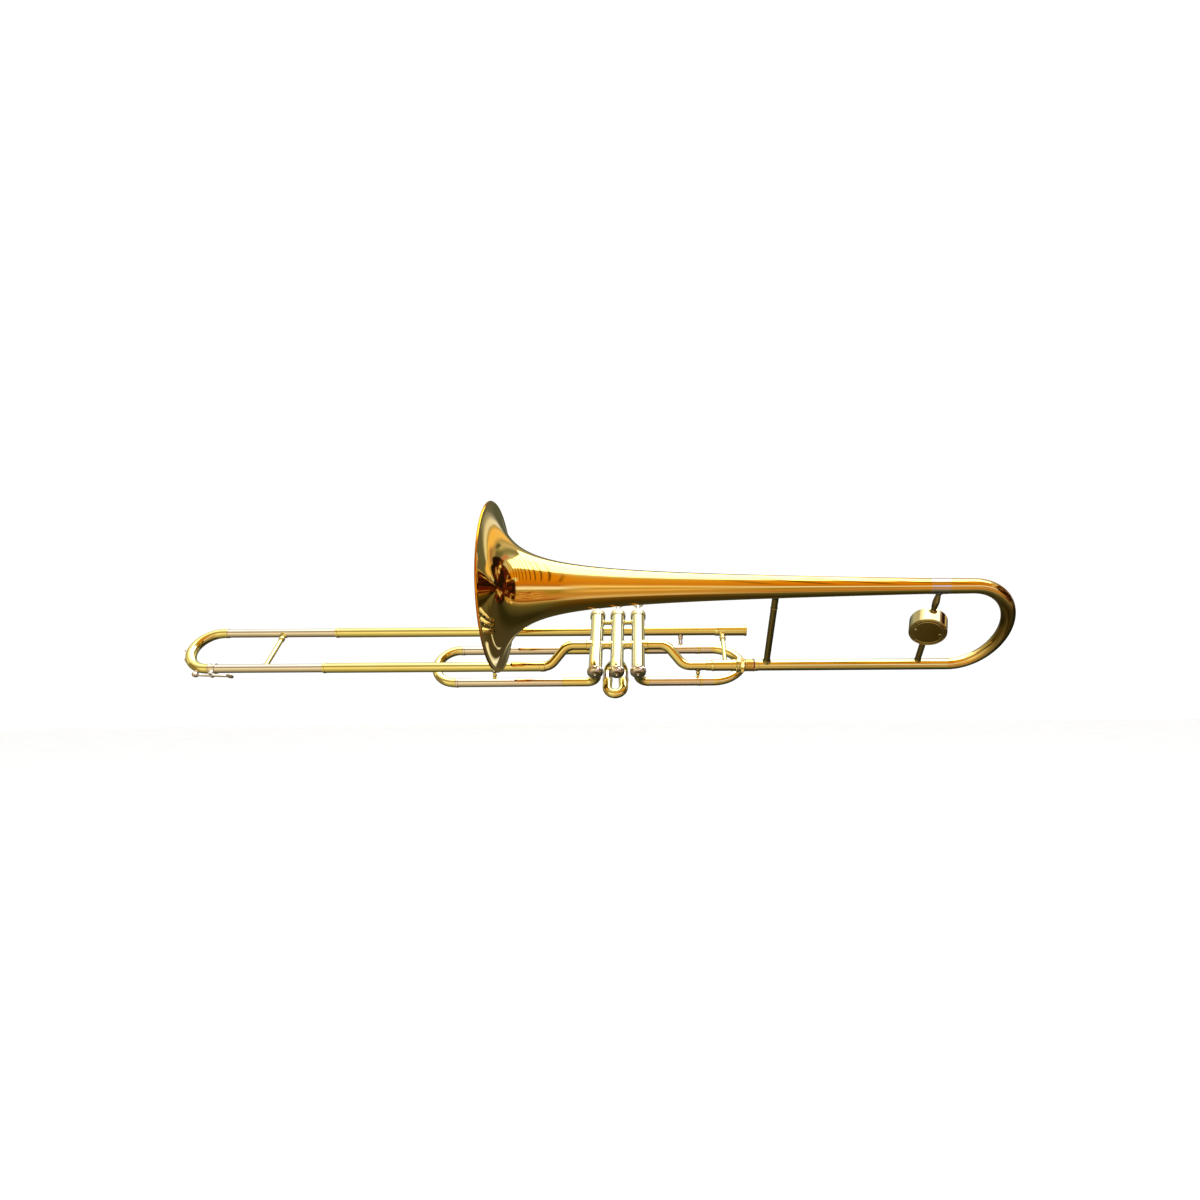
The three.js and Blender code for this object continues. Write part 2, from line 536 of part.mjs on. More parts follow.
// ---- bell lock, neck, crook, bell and counterweight ----
function bellSection() {
  const nutBore = 7.95;
  const lockLength = LOCK_X[1] - LOCK_X[0];
  add('lock_receiver', turned([
    [0, 7.2], [1.2, LOCK_R], [lockLength - 6, LOCK_R], [lockLength - 6, 8.3], [lockLength, 8.3],
    [lockLength, 6.9], [0, BORE_R],
  ]), brass, valvePlane, [LOCK_X[0], 0, 0]);
  const nutLength = NUT_X[1] - NUT_X[0];
  add('lock_nut', turned([
    [0, 9.4], [1, 10.4], [3, 10.4], [3.6, 9.6], [5.6, 9.6], [6.2, 10.4], [10.6, 10.4], [nutLength, 9.2],
    [nutLength, nutBore], [0, nutBore],
  ], 14), brass, valvePlane, [NUT_X[0], 0, 0]);
  const sleeveLength = NECK_X[0] - GAP - LOCK_X[1] - GAP;
  const sleeveStart = sleeveLength - (NECK_X[0] - GAP - NUT_X[1] - GAP);
  add('neck_lock_sleeve', turned([
    [0, 7.5], [sleeveStart, 7.5], [sleeveStart, 8.4], [sleeveLength - 2.4, 8.4], [sleeveLength - 2.4, 8.9],
    [sleeveLength, 8.9], [sleeveLength, 7], [0, 6.9],
  ]), brass, valvePlane, [LOCK_X[1] + GAP, 0, 0]);
  add('neckpipe', pipe(NECK_X[1] - NECK_X[0], NECK_R, 7.1), brass, bellPlane, [NECK_X[0], 0, 0]);

  const radius = BELL_SPACING / 2;
  const ferruleR = TAIL_R + 0.4;
  const path = new THREE.Path();
  path.moveTo(0, 0).absarc(0, radius, radius, -Math.PI / 2, Math.PI / 2, false);
  path.lineTo(FERRULE_X[1] + GAP - CROOK_X, BELL_SPACING);
  const total = path.getLength();
  const taper = (s) => NECK_R + (TAIL_R - NECK_R) * s / total;
  const tube = wall(stations(path, 10), taper, (s) => taper(s) - 0.7);
  add('rear_crook', bent(path, tube, X, Z, 12), brass, bellPlane, [CROOK_X, 0, 0]);
  const ferrule = pipe(FERRULE_X[1] - FERRULE_X[0], ferruleR, TAIL_R - 0.7, 16);
  add('bell_ferrule', ferrule, nickel, bellPlane, [FERRULE_X[0], 0, BELL_SPACING]);

  // The bell: a slow cone that flares as a power of the distance from a point just past the rim.
  const rimR = 106.4;
  const flareStart = 18.5;
  const flarePower = 0.85;
  const reach = BELL_END_X - BELL_RIM_X;
  const flareAt = (d) => (d + flareStart) ** -flarePower;
  const cone = 0.012;
  const flareGain = (rimR - TAIL_R - cone * reach) / (flareAt(0) - flareAt(reach));
  const bellRadius = (d) => TAIL_R + cone * (reach - d) + flareGain * (flareAt(d) - flareAt(reach));
  const steps = 12;
  const outside = Array.from({ length: steps + 1 }, (_, i) => reach * (i / steps) ** 2.4)
    .map((d) => [d, bellRadius(d)]);
  const skin = 1;
  const inside = outside.slice(1).map(([d, r]) => [d, r - skin]).reverse();
  const lip = [[0, rimR - 1.4], [-1.6, rimR - 0.6], [-1.6, rimR + 1], [0, rimR + 1.6], [1.4, rimR + 1]];
  const profile = [...inside, ...lip, ...outside.slice(1)];
  add('bell', turned(profile, 24), brass, bellPlane, [BELL_RIM_X, 0, BELL_SPACING]);

  const bellHere = bellRadius(BELL_BRACE_X - BELL_RIM_X);
  const collared = (length, rod, flange) => {
    const collar = length - 21;
    const [thick, upper] = [rod * 1.35, rod * 1.12];
    return turned([
      [0, 0], [0, flange], [2.4, rod * 1.15], [2.4, rod], [collar, rod], [collar, thick],
      [collar + 3, thick], [collar + 3, upper], [length - 3, upper], [length, flange], [length, 0],
    ], 10);
  };
  brace('bell_brace', [BELL_BRACE_X, 0, 0], [BELL_BRACE_X, 0, BELL_SPACING],
    { clearFrom: NECK_R, clearTo: bellHere, rod: 4.5, flange: 6.6 }, brass, bellPlane, collared);

  // Counterweight drum between its two rods, tipped and swung a little out of the bell's plane.
  const depth = 23;
  const middle = BELL_SPACING / 2;
  const face = depth / 2;
  const edge = DRUM_R - 1.6;
  const drum = add('counterweight', turned([
    [-face, 0], [-face, edge], [1.6 - face, DRUM_R], [face - 1.6, DRUM_R], [face, edge], [face, 0],
  ], 24), brass, bellPlane, [DRUM_X, 0, middle]);
  const tip = DRUM_TIP - BELL_LEAN;
  const axis = new THREE.Vector3(1, 0, 0).applyAxisAngle(Z, Math.PI / 2 - DRUM_SWING);
  const tilted = new THREE.Vector3(axis.x, axis.y * Math.cos(tip), axis.y * Math.sin(tip));
  drum.quaternion.setFromUnitVectors(X, tilted);
  const drumReach = 26.2;
  brace('counterweight_upper_rod', [DRUM_X, 0, middle], [DRUM_X, 0, BELL_SPACING],
    { clearFrom: drumReach, clearTo: ferruleR, rod: 4.6, flange: 5.6 }, brass, bellPlane);
  brace('counterweight_lower_rod', [DRUM_X, 0, middle], [DRUM_X, 0, 0],
    { clearFrom: drumReach, clearTo: NECK_R, rod: 4.2, flange: 5 }, brass, bellPlane);
}

mainTubing();
tuningSlide();
valves();
valveSlides();
bellSection();

export default trombone;
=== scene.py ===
import math

import bmesh
import bpy
from mathutils import Matrix, Vector

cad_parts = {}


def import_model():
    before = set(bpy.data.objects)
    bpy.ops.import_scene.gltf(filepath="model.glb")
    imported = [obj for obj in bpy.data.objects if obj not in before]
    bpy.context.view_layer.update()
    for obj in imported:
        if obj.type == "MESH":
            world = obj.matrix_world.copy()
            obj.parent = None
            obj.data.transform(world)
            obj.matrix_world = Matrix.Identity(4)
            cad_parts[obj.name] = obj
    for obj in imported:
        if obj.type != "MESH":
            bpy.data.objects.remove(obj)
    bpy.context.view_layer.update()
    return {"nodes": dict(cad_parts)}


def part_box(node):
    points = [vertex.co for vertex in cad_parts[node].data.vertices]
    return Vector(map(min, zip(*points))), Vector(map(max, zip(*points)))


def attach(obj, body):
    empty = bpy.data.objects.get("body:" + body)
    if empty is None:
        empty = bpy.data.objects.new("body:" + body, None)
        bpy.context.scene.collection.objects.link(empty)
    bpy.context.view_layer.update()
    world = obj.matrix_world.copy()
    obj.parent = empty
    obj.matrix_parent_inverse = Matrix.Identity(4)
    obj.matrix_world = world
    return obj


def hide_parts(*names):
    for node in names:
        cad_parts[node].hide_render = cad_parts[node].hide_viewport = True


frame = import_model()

# Looks of the valve trombone. Shapes are given in millimetres and placed in the row frame, in metres.

scene = bpy.context.scene

MM = 0.001
SIDES = 48  # round a tube
SHARP = math.radians(42)  # a steeper edge is shaded as an edge
WHITE = 4.2  # the showroom's ceiling lights, beside 1 for paper
X = Vector((1, 0, 0))

# ---- radii and places shared by several pieces ----
GAP = 0.3  # between neighbours
SEAT = 0.25  # how far a foot goes into the tube that it stands on
BORE = 5.6
TUBE = 6.9  # leadpipe and lower slide tube
TUBE_BORE = 6.45
LEG = 6.1  # inner legs of the tuning slide
BOW = 6.7  # its bow
BEND = 6.6  # the S-bends beside the valves
RECEIVER = 7.65  # mouthpiece receiver
LOCK = 7.8  # lock receiver
CASING = 9.1
CASING_BORE = 8.35
CASING_Y = -19
CASING_PITCH = 29
CAP = 10.9
PORT_Z = 22  # crossovers and S-bends
BRACE_Z = 64.5  # braces between the casings
LOOP_Y = 18  # plane of the first and third slides
LOOP_TOP, LOOP_BOTTOM = 45.2, -13.6
LOOP = 6.4  # outer tubes of the valve slides
LOOP_BORE = 5.95
LOOP_LEG, LOOP_LEG_BORE = 5.6, 5.1
ELBOW = 14
NECK = 7.8
TAIL = 10.1  # the bell's narrow end
FERRULE = TAIL + 0.2
DRUM = 24  # counterweight


# ---- the object's own planes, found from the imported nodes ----
def middle(node):
    low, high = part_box(node)
    return Vector((0, (low.y + high.y) / 2, (low.z + high.z) / 2)) / MM


def span(node):
    low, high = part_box(node)
    return low.x / MM, high.x / MM


LOWER = middle("lower_slide_tube")


class Plane:
    """Coordinates about the lower main tube, with z running from it to another axis."""

    def __init__(self, node):
        up = middle(node) - LOWER
        self.spacing = up.length
        up.normalize()
        self.turn = Matrix((X, up.cross(X), up)).transposed()

    def at(self, x, y, z):
        return LOWER + self.turn @ Vector((x, y, z))

    def way(self, x, y, z):
        return (self.turn @ Vector((x, y, z))).normalized()


valve = Plane("leadpipe")
bell = Plane("bell")
BACK, UP = valve.way(0, 1, 0), valve.way(0, 0, 1)


# ---- mesh makers: each returns a closed shell as (points, faces) ----
class Path:
    """A centreline of lines and arcs in one plane. u is its first direction, and a positive arc turns
    towards v."""

    def __init__(self, start, u, v):
        self.start, self.u, self.v = start, u, v
        self.side = u.cross(v)
        self.parts = []

    def line(self, length):
        self.parts.append((length, 0))
        return self

    def arc(self, radius, degrees):
        turn = math.radians(degrees)
        self.parts.append((radius * abs(turn), turn))
        return self

    def length(self):
        return sum(part[0] for part in self.parts)

    def bends(self):
        return any(part[1] for part in self.parts)

    def at(self, s):
        """The point, the direction and the inward normal at a distance s."""
        a = b = heading = 0
        for i, (length, turn) in enumerate(self.parts):
            last = i == len(self.parts) - 1
            go = s if last else min(s, length)
            if turn:
                radius = length / turn
                end = heading + go / radius
                a += radius * (math.sin(end) - math.sin(heading))
                b += radius * (math.cos(heading) - math.cos(end))
                heading = end
            else:
                a += go * math.cos(heading)
                b += go * math.sin(heading)
            s -= go
            if s <= 1e-9:
                break
        cos, sin = math.cos(heading), math.sin(heading)
        return self.start + self.u * a + self.v * b, self.u * cos + self.v * sin, self.v * cos - self.u * sin


def straight(start, end, side=None):
    """A straight path between two points."""
    u = (end - start).normalized()
    v = side or (Vector((0, 0, 1)) if abs(u.z) < 0.9 else Vector((0, 1, 0)))
    v = (v - u * v.dot(u)).normalized()
    return Path(start, u, v).line((end - start).length)


def rounded(profile, radius):
    """Rounds a profile's corners, with a short support beside each so that the flats stay flat."""
    slight, share, facet, support = math.radians(14), 0.38, math.radians(30), 1.3
    closed = profile[0][1] > 0
    points = [Vector(p) for p in profile]
    out = []
    for i, p in enumerate(points):
        if not closed and i in (0, len(points) - 1):
            out.append(p)
            continue
        back, ahead = points[i - 1] - p, points[(i + 1) % len(points)] - p
        turn = math.pi - back.angle(ahead)
        if turn < slight:
            out.append(p)
            continue
        tangent = math.tan(turn / 2)
        reach = min(radius * tangent, share * back.length, share * ahead.length)
        back_way, ahead_way = back.normalized(), ahead.normalized()
        centre = p + (back_way + ahead_way).normalized() * (reach / tangent / math.cos(turn / 2))
        first, last = p + back_way * reach - centre, p + ahead_way * reach - centre
        steps = max(2, math.ceil(turn / facet))
        out.append(p + back_way * reach * support)
        out += [centre + first.slerp(last, k / steps).normalized() * first.length for k in range(steps + 1)]
        out.append(p + ahead_way * reach * support)
    return [(p.x, p.y) for p in out]


def divided(profile, step):
    """Adds stations so that a bend stays smooth."""
    closed = profile[0][1] > 0
    out = []
    for i, p in enumerate(profile):
        out.append(p)
        if i == len(profile) - 1 and not closed:
            break
        q = profile[(i + 1) % len(profile)]
        count = math.ceil(abs(q[0] - p[0]) / step)
        out += [(p[0] + (q[0] - p[0]) * k / count, p[1] + (q[1] - p[1]) * k / count) for k in range(1, count)]
    return out


def tube(path, profile, sides=SIDES, corner=0.35, cope=(None, None), ribs=None, step=2):
    """Turns a profile of (distance, radius) round a path. cope fits an end to a round (radius, axis), fully
    near the end and less further on. ribs is (from, to, count, depth) for knurling."""
    fitted, fading = 2.2, 2.3
    profile = rounded(profile, corner) if corner else profile
    if path.bends():
        profile = divided(profile, step)
    low, high = min(p[0] for p in profile), max(p[0] for p in profile)
    points, rings = [], []
    for s, r in profile:
        centre, along, normal = path.at(s)
        rings.append((len(points), r > 1e-6))
        if r <= 1e-6:
            points.append(centre)
            continue
        fits = []
        for fit, way, distance in ((cope[0], -along, s - low), (cope[1], along, high - s)):
            if fit and distance < fitted + fading:
                weight = 1 - max(0, distance - fitted) / fading
                fits.append((fit[0], way, way.cross(fit[1]).normalized(), weight))
        for k in range(sides):
            angle = 2 * math.pi * k / sides
            here = r
            if ribs and ribs[0] < s < ribs[1]:
                here += ribs[3] * math.cos(ribs[2] * angle)
            out = (normal * math.cos(angle) + path.side * math.sin(angle)) * here
            p = centre + out
            for radius, way, across, weight in fits:
                lateral = out.dot(across)
                p = p + way * weight * (radius - math.sqrt(max(radius ** 2 - lateral ** 2, 0)))
            points.append(p)
    faces = []
    pairs = list(zip(rings, rings[1:]))
    if rings[0][1]:
        pairs.append((rings[-1], rings[0]))
    for (a, a_round), (b, b_round) in pairs:
        for k in range(sides):
            n = (k + 1) % sides
            if a_round and b_round:
                faces.append((a + k, a + n, b + n, b + k))
            elif a_round:
                faces.append((a + k, a + n, b))
            elif b_round:
                faces.append((a, b + n, b + k))
    return points, faces


def wire(points, radius, sides=10):
    """A round wire through points in space."""
    out, faces = [], []
    normal = None
    for i, p in enumerate(points):
        along = (points[min(i + 1, len(points) - 1)] - points[max(i - 1, 0)]).normalized()
        if normal is None:
            normal = along.orthogonal().normalized()
        normal = (normal - along * normal.dot(along)).normalized()
        other = along.cross(normal)
        for k in range(sides):
            angle = 2 * math.pi * k / sides
            out.append(p + (normal * math.cos(angle) + other * math.sin(angle)) * radius)
        if i:
            a, b = (i - 1) * sides, i * sides
            faces += [(a + k, a + (k + 1) % sides, b + (k + 1) % sides, b + k) for k in range(sides)]
    faces.append(tuple(range(sides)))
    faces.append(tuple(len(out) - sides + k for k in range(sides)))
    return out, faces


def coil(start, end, radius, side, turns, around):
    """Points of a helix round the line from start to end, with X and side across it."""
    steps = turns * around
    points = []
    for i in range(steps + 1):
        angle = 2 * math.pi * i / around
        centre = start.lerp(end, i / steps)
        points.append(centre + X * radius * math.cos(angle) + side * radius * math.sin(angle))
    return points


def slab(outline, thickness, start, u, v, bevel=0.35):
    """A flat plate with softened edges. The outline is in the plane of u and v."""
    side = u.cross(v)
    bm = bmesh.new()
    low = [bm.verts.new(start + u * a + v * b - side * (thickness / 2)) for a, b in outline]
    high = [bm.verts.new(p.co + side * thickness) for p in low]
    bm.faces.new(low)
    bm.faces.new(high)
    for k in range(len(low)):
        n = (k + 1) % len(low)
        bm.faces.new((low[k], low[n], high[n], high[k]))
    bmesh.ops.recalc_face_normals(bm, faces=bm.faces)
    bmesh.ops.bevel(bm, geom=bm.edges[:], offset=bevel, segments=2, profile=0.5, affect="EDGES",
                    clamp_overlap=True)
    bm.verts.index_update()
    shell = [p.co.copy() for p in bm.verts], [tuple(p.index for p in f.verts) for f in bm.faces]
    bm.free()
    return shell


def post(length, rod, feet, balls=(), rings=(), swell=0, step=0.4):
    """A strut's profile: feet are the two flange radii, balls are (distance, radius), and rings are
    (distance, radius, width). Each foot is a flat flange that fades into the rod."""
    flange, fade = 0.7, 2.2
    count = math.ceil(length / step)
    profile = [(0, 0)]
    for i in range(count + 1):
        s = length * i / count
        r = rod + swell * math.sin(math.pi * s / length) ** 2
        for foot, distance in zip(feet, (s, length - s)):
            faded = rod + (foot - rod) * max(0, 1 - (distance - flange) / fade) ** 2
            r = max(r, foot if distance < flange else faded)
        for at, radius in balls:
            if abs(s - at) < radius:
                r = max(r, math.sqrt(radius ** 2 - (s - at) ** 2))
        for at, radius, width in rings:
            if abs(s - at) < width / 2:
                edge = (abs(s - at) / (width / 2)) ** 2
                r = max(r, rod + (radius - rod) * math.sqrt(1 - edge))
        profile.append((s, r))
    return profile + [(length, 0)]


def ringed(length, outer, bore, start=0, end=0, lift=0.45):
    """A tube's profile with a raised ferrule ring of the given width at either end."""
    ring, slope = outer + lift, 0.4
    head = [(0, ring), (start, ring), (start + slope, outer)] if start else [(0, outer)]
    tail = [(length - end - slope, outer), (length - end, ring), (length, ring)] if end else [(length, outer)]
    return [(0, bore), *head, *tail, (length, bore)]


def added(name, data):
    obj = bpy.data.objects.new(name, data)
    scene.collection.objects.link(obj)
    return obj


def piece(name, shells, look, *nodes, body="horn"):
    """Makes one visible piece from closed shells, with its finish, its body and the nodes it stands for."""
    points, faces = [], []
    for shell_points, shell_faces in shells:
        base = len(points)
        points += [p * MM for p in shell_points]
        faces += [tuple(i + base for i in face) for face in shell_faces]
    mesh = bpy.data.meshes.new(name)
    mesh.from_pydata(points, [], faces)
    bm = bmesh.new()
    bm.from_mesh(mesh)
    bmesh.ops.recalc_face_normals(bm, faces=bm.faces)
    bm.to_mesh(mesh)
    bm.free()
    mesh.shade_smooth()
    mesh.set_sharp_from_angle(angle=SHARP)
    mesh.materials.append(look["material"])
    obj = added(name, mesh)
    obj.visible_glossy = name == "bell_spun"  # only the bell is broad enough to show in the other pieces
    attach(obj, body)
    if nodes:
        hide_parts(*nodes)
    return obj


# ---- finishes ----
class Graph:
    """Short forms for building a node tree."""

    def __init__(self, tree):
        self.tree = tree
        tree.nodes.clear()

    def node(self, kind, inputs=None, **settings):
        made = self.tree.nodes.new("ShaderNode" + kind)
        for key, value in settings.items():
            setattr(made, key, value)
        for key, value in (inputs or {}).items():
            socket = made.inputs[key]
            if isinstance(value, bpy.types.NodeSocket):
                self.tree.links.new(value, socket)
            else:
                socket.default_value = (*value, 1) if socket.type == "RGBA" else value
        return made

    def math(self, operation, a, b=0, clamp=False):
        return self.node("Math", {0: a, 1: b}, operation=operation, use_clamp=clamp).outputs[0]

    def times(self, a, b):
        return self.math("MULTIPLY", a, b)

    def remap(self, value, low, high, first, last):
        """Takes low..high to first..last."""
        return self.node("MapRange", {"Value": value, 1: low, 2: high, 3: first, 4: last}).outputs[0]

    def noise(self, place, scale, detail, roughness=0.5):
        inputs = {"Vector": place, "Scale": scale, "Detail": detail, "Roughness": roughness}
        return self.node("TexNoise", inputs).outputs[0]

    def ramp(self, value, stops):
        made = self.node("ValToRGB", {"Fac": value})
        ramp = made.color_ramp
        while len(ramp.elements) < len(stops):
            ramp.elements.new(0.5)
        for element, (position, color) in zip(ramp.elements, stops):
            element.position = position
            element.color = (*color, 1)
        return made.outputs["Color"]

    def mix(self, factor, a, b, blend="MIX"):
        inputs = {0: factor, 6: a, 7: b}
        return self.node("Mix", inputs, data_type="RGBA", blend_type=blend).outputs[2]

    def principled(self, inputs):
        shader = self.node("BsdfPrincipled", inputs)
        self.node("OutputMaterial", {"Surface": shader.outputs[0]})


def finish(name, slot=None):
    material = bpy.data.materials.new(name)
    material.use_nodes = True
    return Graph(material.node_tree), {"material": material, "slot": slot}


def metal(name, slot, light, dark, rough, coat=0, ripple=0.05, shade=None):
    """Polished metal: the tone drifts along the piece, and hand polishing leaves soft ripples, smears and
    hairlines. shade is the pair of X places, in metres, between which the metal goes dark: painted shade
    that stands in for a dark reflection."""
    g, look = finish(name, slot)
    place = g.node("TexCoord").outputs["Object"]
    drift = g.noise(place, 22, 3, 0.55)
    tone = g.ramp(drift, [(0.3, dark), (0.7, light)])
    if shade:
        # Painted shade: past the shade places the tone turns dark olive, standing in for a dark reflection.
        along = g.node("SeparateXYZ", {"Vector": place}).outputs[0]
        painted_shade = g.remap(along, *shade, 0, 1)
        tone = g.mix(painted_shade, tone, (light[0] * 0.22, light[1] * 0.20, light[2] * 0.15))
    smear = g.noise(place, 120, 4, 0.6)
    roughness = g.remap(smear, 0.3, 0.75, rough * 0.6, rough * 1.5)
    stretched = g.node("Mapping", {"Vector": place, "Scale": (1, 9, 9)}).outputs[0]
    hair = g.noise(stretched, 300, 2)
    wave = g.noise(place, 40, 2)
    height = g.math("ADD", g.times(hair, 0.012), wave)
    bump = g.node("Bump", {"Height": height, "Strength": ripple, "Distance": 0.0005}).outputs[0]
    g.principled({
        "Base Color": tone, "Metallic": 1, "Roughness": roughness, "Normal": bump,
        "Coat Weight": coat, "Coat Roughness": 0.03,
    })
    return look


def dull(name, slot, light, dark, rough, scale, depth, sheen=0, coat=0):
    """Cork, felt and pearl: a mottled colour with a fine grain."""
    g, look = finish(name, slot)
    place = g.node("TexCoord").outputs["Object"]
    grain = g.noise(place, scale, 6, 0.65)
    cells = g.node("TexVoronoi", {"Vector": place, "Scale": scale * 0.6}).outputs["Distance"]
    mixed = g.math("ADD", g.times(grain, 0.7), g.times(cells, 0.5))
    tone = g.ramp(mixed, [(0.35, dark), (0.75, light)])
    bump = g.node("Bump", {"Height": mixed, "Strength": 0.5, "Distance": depth}).outputs[0]
    g.principled({
        "Base Color": tone, "Roughness": rough, "Normal": bump, "Sheen Weight": sheen, "Coat Weight": coat,
        "Coat Roughness": 0.05,
    })
    return look


brass = metal("lacquered_brass", "lacquered_brass", (0.93, 0.86, 0.37), (0.89, 0.81, 0.31), 0.045,
              coat=0.2, ripple=0.012)
bell_brass = metal("gold_brass", "lacquered_brass", (0.94, 0.66, 0.18), (0.91, 0.62, 0.15), 0.025,
                   coat=0.15, ripple=0.005)
# Darker brass as painted shade: it stands in for the dark reflections on the bell brace and the counterweight
# rods.
shaded_brass = metal("shaded_brass", "lacquered_brass", (0.3, 0.26, 0.11), (0.2, 0.17, 0.06), 0.1,
                     ripple=0.03)
# The rear crook's brass darkens at its +X end: painted shade standing in for a dark reflection.
crook_brass_painted_shade = metal("crook_brass_painted_shade", "lacquered_brass", (0.94, 0.72, 0.26), (0.9, 0.66, 0.2), 0.05,
                    coat=0.2, ripple=0.012, shade=(0.488, 0.514))
drum_brass = metal("drum_brass", "lacquered_brass", (0.62, 0.53, 0.24), (0.5, 0.42, 0.17), 0.09,
                   coat=0.4, ripple=0.02)
nickel = metal("nickel_silver", "nickel_silver", (0.87, 0.82, 0.77), (0.82, 0.77, 0.71), 0.06, ripple=0.012)
casing_nickel = metal("casing_nickel", "nickel_silver", (0.89, 0.86, 0.54), (0.85, 0.81, 0.48), 0.06,
                      ripple=0.012)
warm_nickel = metal("warm_nickel", "nickel_silver", (0.84, 0.74, 0.68), (0.77, 0.67, 0.61), 0.09,
                    ripple=0.015)
steel = metal("steel", "steel", (0.62, 0.61, 0.58), (0.5, 0.49, 0.47), 0.22, ripple=0.15)
cork = dull("cork", "cork", (0.52, 0.33, 0.17), (0.22, 0.11, 0.05), 0.85, 900, 0.0002)
felt = dull("felt", None, (0.72, 0.66, 0.52), (0.5, 0.44, 0.33), 0.95, 1500, 0.0003, sheen=0.6)
pearl = dull("pearl", None, (0.88, 0.86, 0.82), (0.7, 0.69, 0.68), 0.18, 160, 0.00002, coat=0.6)
red_band = dull("red_band", None, (0.16, 0.02, 0.015), (0.09, 0.01, 0.01), 0.35, 400, 0.00003, coat=0.4)


# ---- main tubing ----
def lying(node, z=0, plane=None):
    """The length and the centreline of a node that lies along X, at height z in its plane."""
    plane = plane or valve
    left, right = span(node)
    return right - left, straight(plane.at(left, 0, z), plane.at(right, 0, z))


def strut(node, x, top, bottom, rod, feet, look=None, body="horn", plane=None, **details):
    """A cross brace at x, or from one x above to another below. top and bottom are (y, z, radius) of its
    tubes, and details are the balls, rings and swell of its post."""
    plane = plane or valve
    above, below = x if isinstance(x, tuple) else (x, x)
    a, b = plane.at(above, top[0], top[1]), plane.at(below, bottom[0], bottom[1])
    way = (b - a).normalized()
    start, end = a + way * (top[2] - SEAT), b - way * (bottom[2] - SEAT)
    profile = post((end - start).length, rod, feet, **details)
    shell = tube(straight(start, end, X), profile, corner=0, cope=((top[2], X), (bottom[2], X)))
    piece(node + "_post", [shell], look or brass, node, body=body)


def valve_bend(node, reach, way):
    """An S-bend that starts along X on the lower tube and ends in a casing's port, after a straight reach."""
    turn, bend = 50, 20
    angle = math.radians(turn)
    rise = math.hypot(CASING_Y, PORT_Z)
    slope = (rise - 2 * bend * (1 - math.cos(angle))) / math.sin(angle)
    inner = 2 * bend * math.sin(angle) + slope * math.cos(angle)
    left, right = span(node)
    lead = (right - left) - reach - inner
    path = Path(valve.at(left if way > 0 else right, 0, 0), X * way, valve.way(0, CASING_Y, PORT_Z))
    path.line(lead).arc(bend, turn).line(slope).arc(bend, -turn).line(reach + SEAT)
    total = path.length()
    profile = [
        (-0.2, BORE), (-0.2, 7.25), (6.5, 7.25), (6.9, BEND), (total - 4.6, BEND), (total - 4.2, 7.4),
        (total, 7.4), (total, BORE),
    ]
    shell = tube(path, profile, cope=(None, (CASING, UP)))
    piece(node + "_tube", [shell], brass, node)


def main_tubing():
    top = valve.spacing
    length, run = lying("leadpipe", top)
    profile = ringed(length, TUBE, TUBE_BORE, start=3)
    piece("leadpipe_tube", [tube(run, profile)], brass, "leadpipe")

    length, run = lying("mouthpiece_receiver", top)
    profile = [
        (-1, 7), (-1, 7.3), (1.5, RECEIVER), (2.6, 7.95), (4.4, 7.95), (5.2, RECEIVER),
        (length - 3.6, RECEIVER), (length - 3.2, 8.2), (length, 8.2), (length, 6.3), (0, BORE), (0, 6.9),
    ]
    piece("mouthpiece_receiver_sleeve", [tube(run, profile)], brass, "mouthpiece_receiver")
    strut("receiver_brace", 150.7, (0, top, RECEIVER), (0, 0, LOCK), 3, (5, 5),
          balls=[(8, 4.2)], rings=[(5.2, 4.6, 1.4), (10.8, 4.2, 1)])

    valve_bend("valve_3_bend", 22, 1)
    valve_bend("valve_1_bend", 20.5, -1)

    length, run = lying("lower_slide_tube")
    profile = ringed(length, TUBE, TUBE_BORE, start=3)
    piece("lower_slide_tube_outer", [tube(run, profile)], brass, "lower_slide_tube")


# ---- tuning slide ----
def tuning_slide():
    spacing = valve.spacing
    radius, tail, collar = spacing / 2, 6, 6.85
    bow_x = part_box("tuning_bow")[1].x / MM - tail
    path = Path(valve.at(bow_x + tail, 0, spacing), -X, -UP)
    path.line(tail).arc(radius, 180).line(tail)
    total = path.length()
    profile = [
        (-0.3, BORE), (-0.3, collar), (3.4, collar), (3.7, BOW), (total - 3.7, BOW), (total - 3.4, collar),
        (total + 0.3, collar), (total + 0.3, BORE),
    ]
    piece("tuning_bow_tube", [tube(path, profile)], brass, "tuning_bow", body="tuning_slide")
    for node, z in (("tuning_leg_upper", spacing), ("tuning_leg_lower", 0)):
        length, run = lying(node, z)
        piece(node + "_tube", [tube(run, ringed(length, LEG, BORE))], nickel, node, body="tuning_slide")
    strut("tuning_brace", (-482, -490), (0, spacing, LEG), (0, 0, LEG), 2.9, (5.4, 4.6), body="tuning_slide",
          balls=[(5.5, 4)], rings=[(8.9, 3.7, 1.2)], swell=0.3)
    bow_guard(valve.at(bow_x, 0, radius), radius + BOW + 0.05)


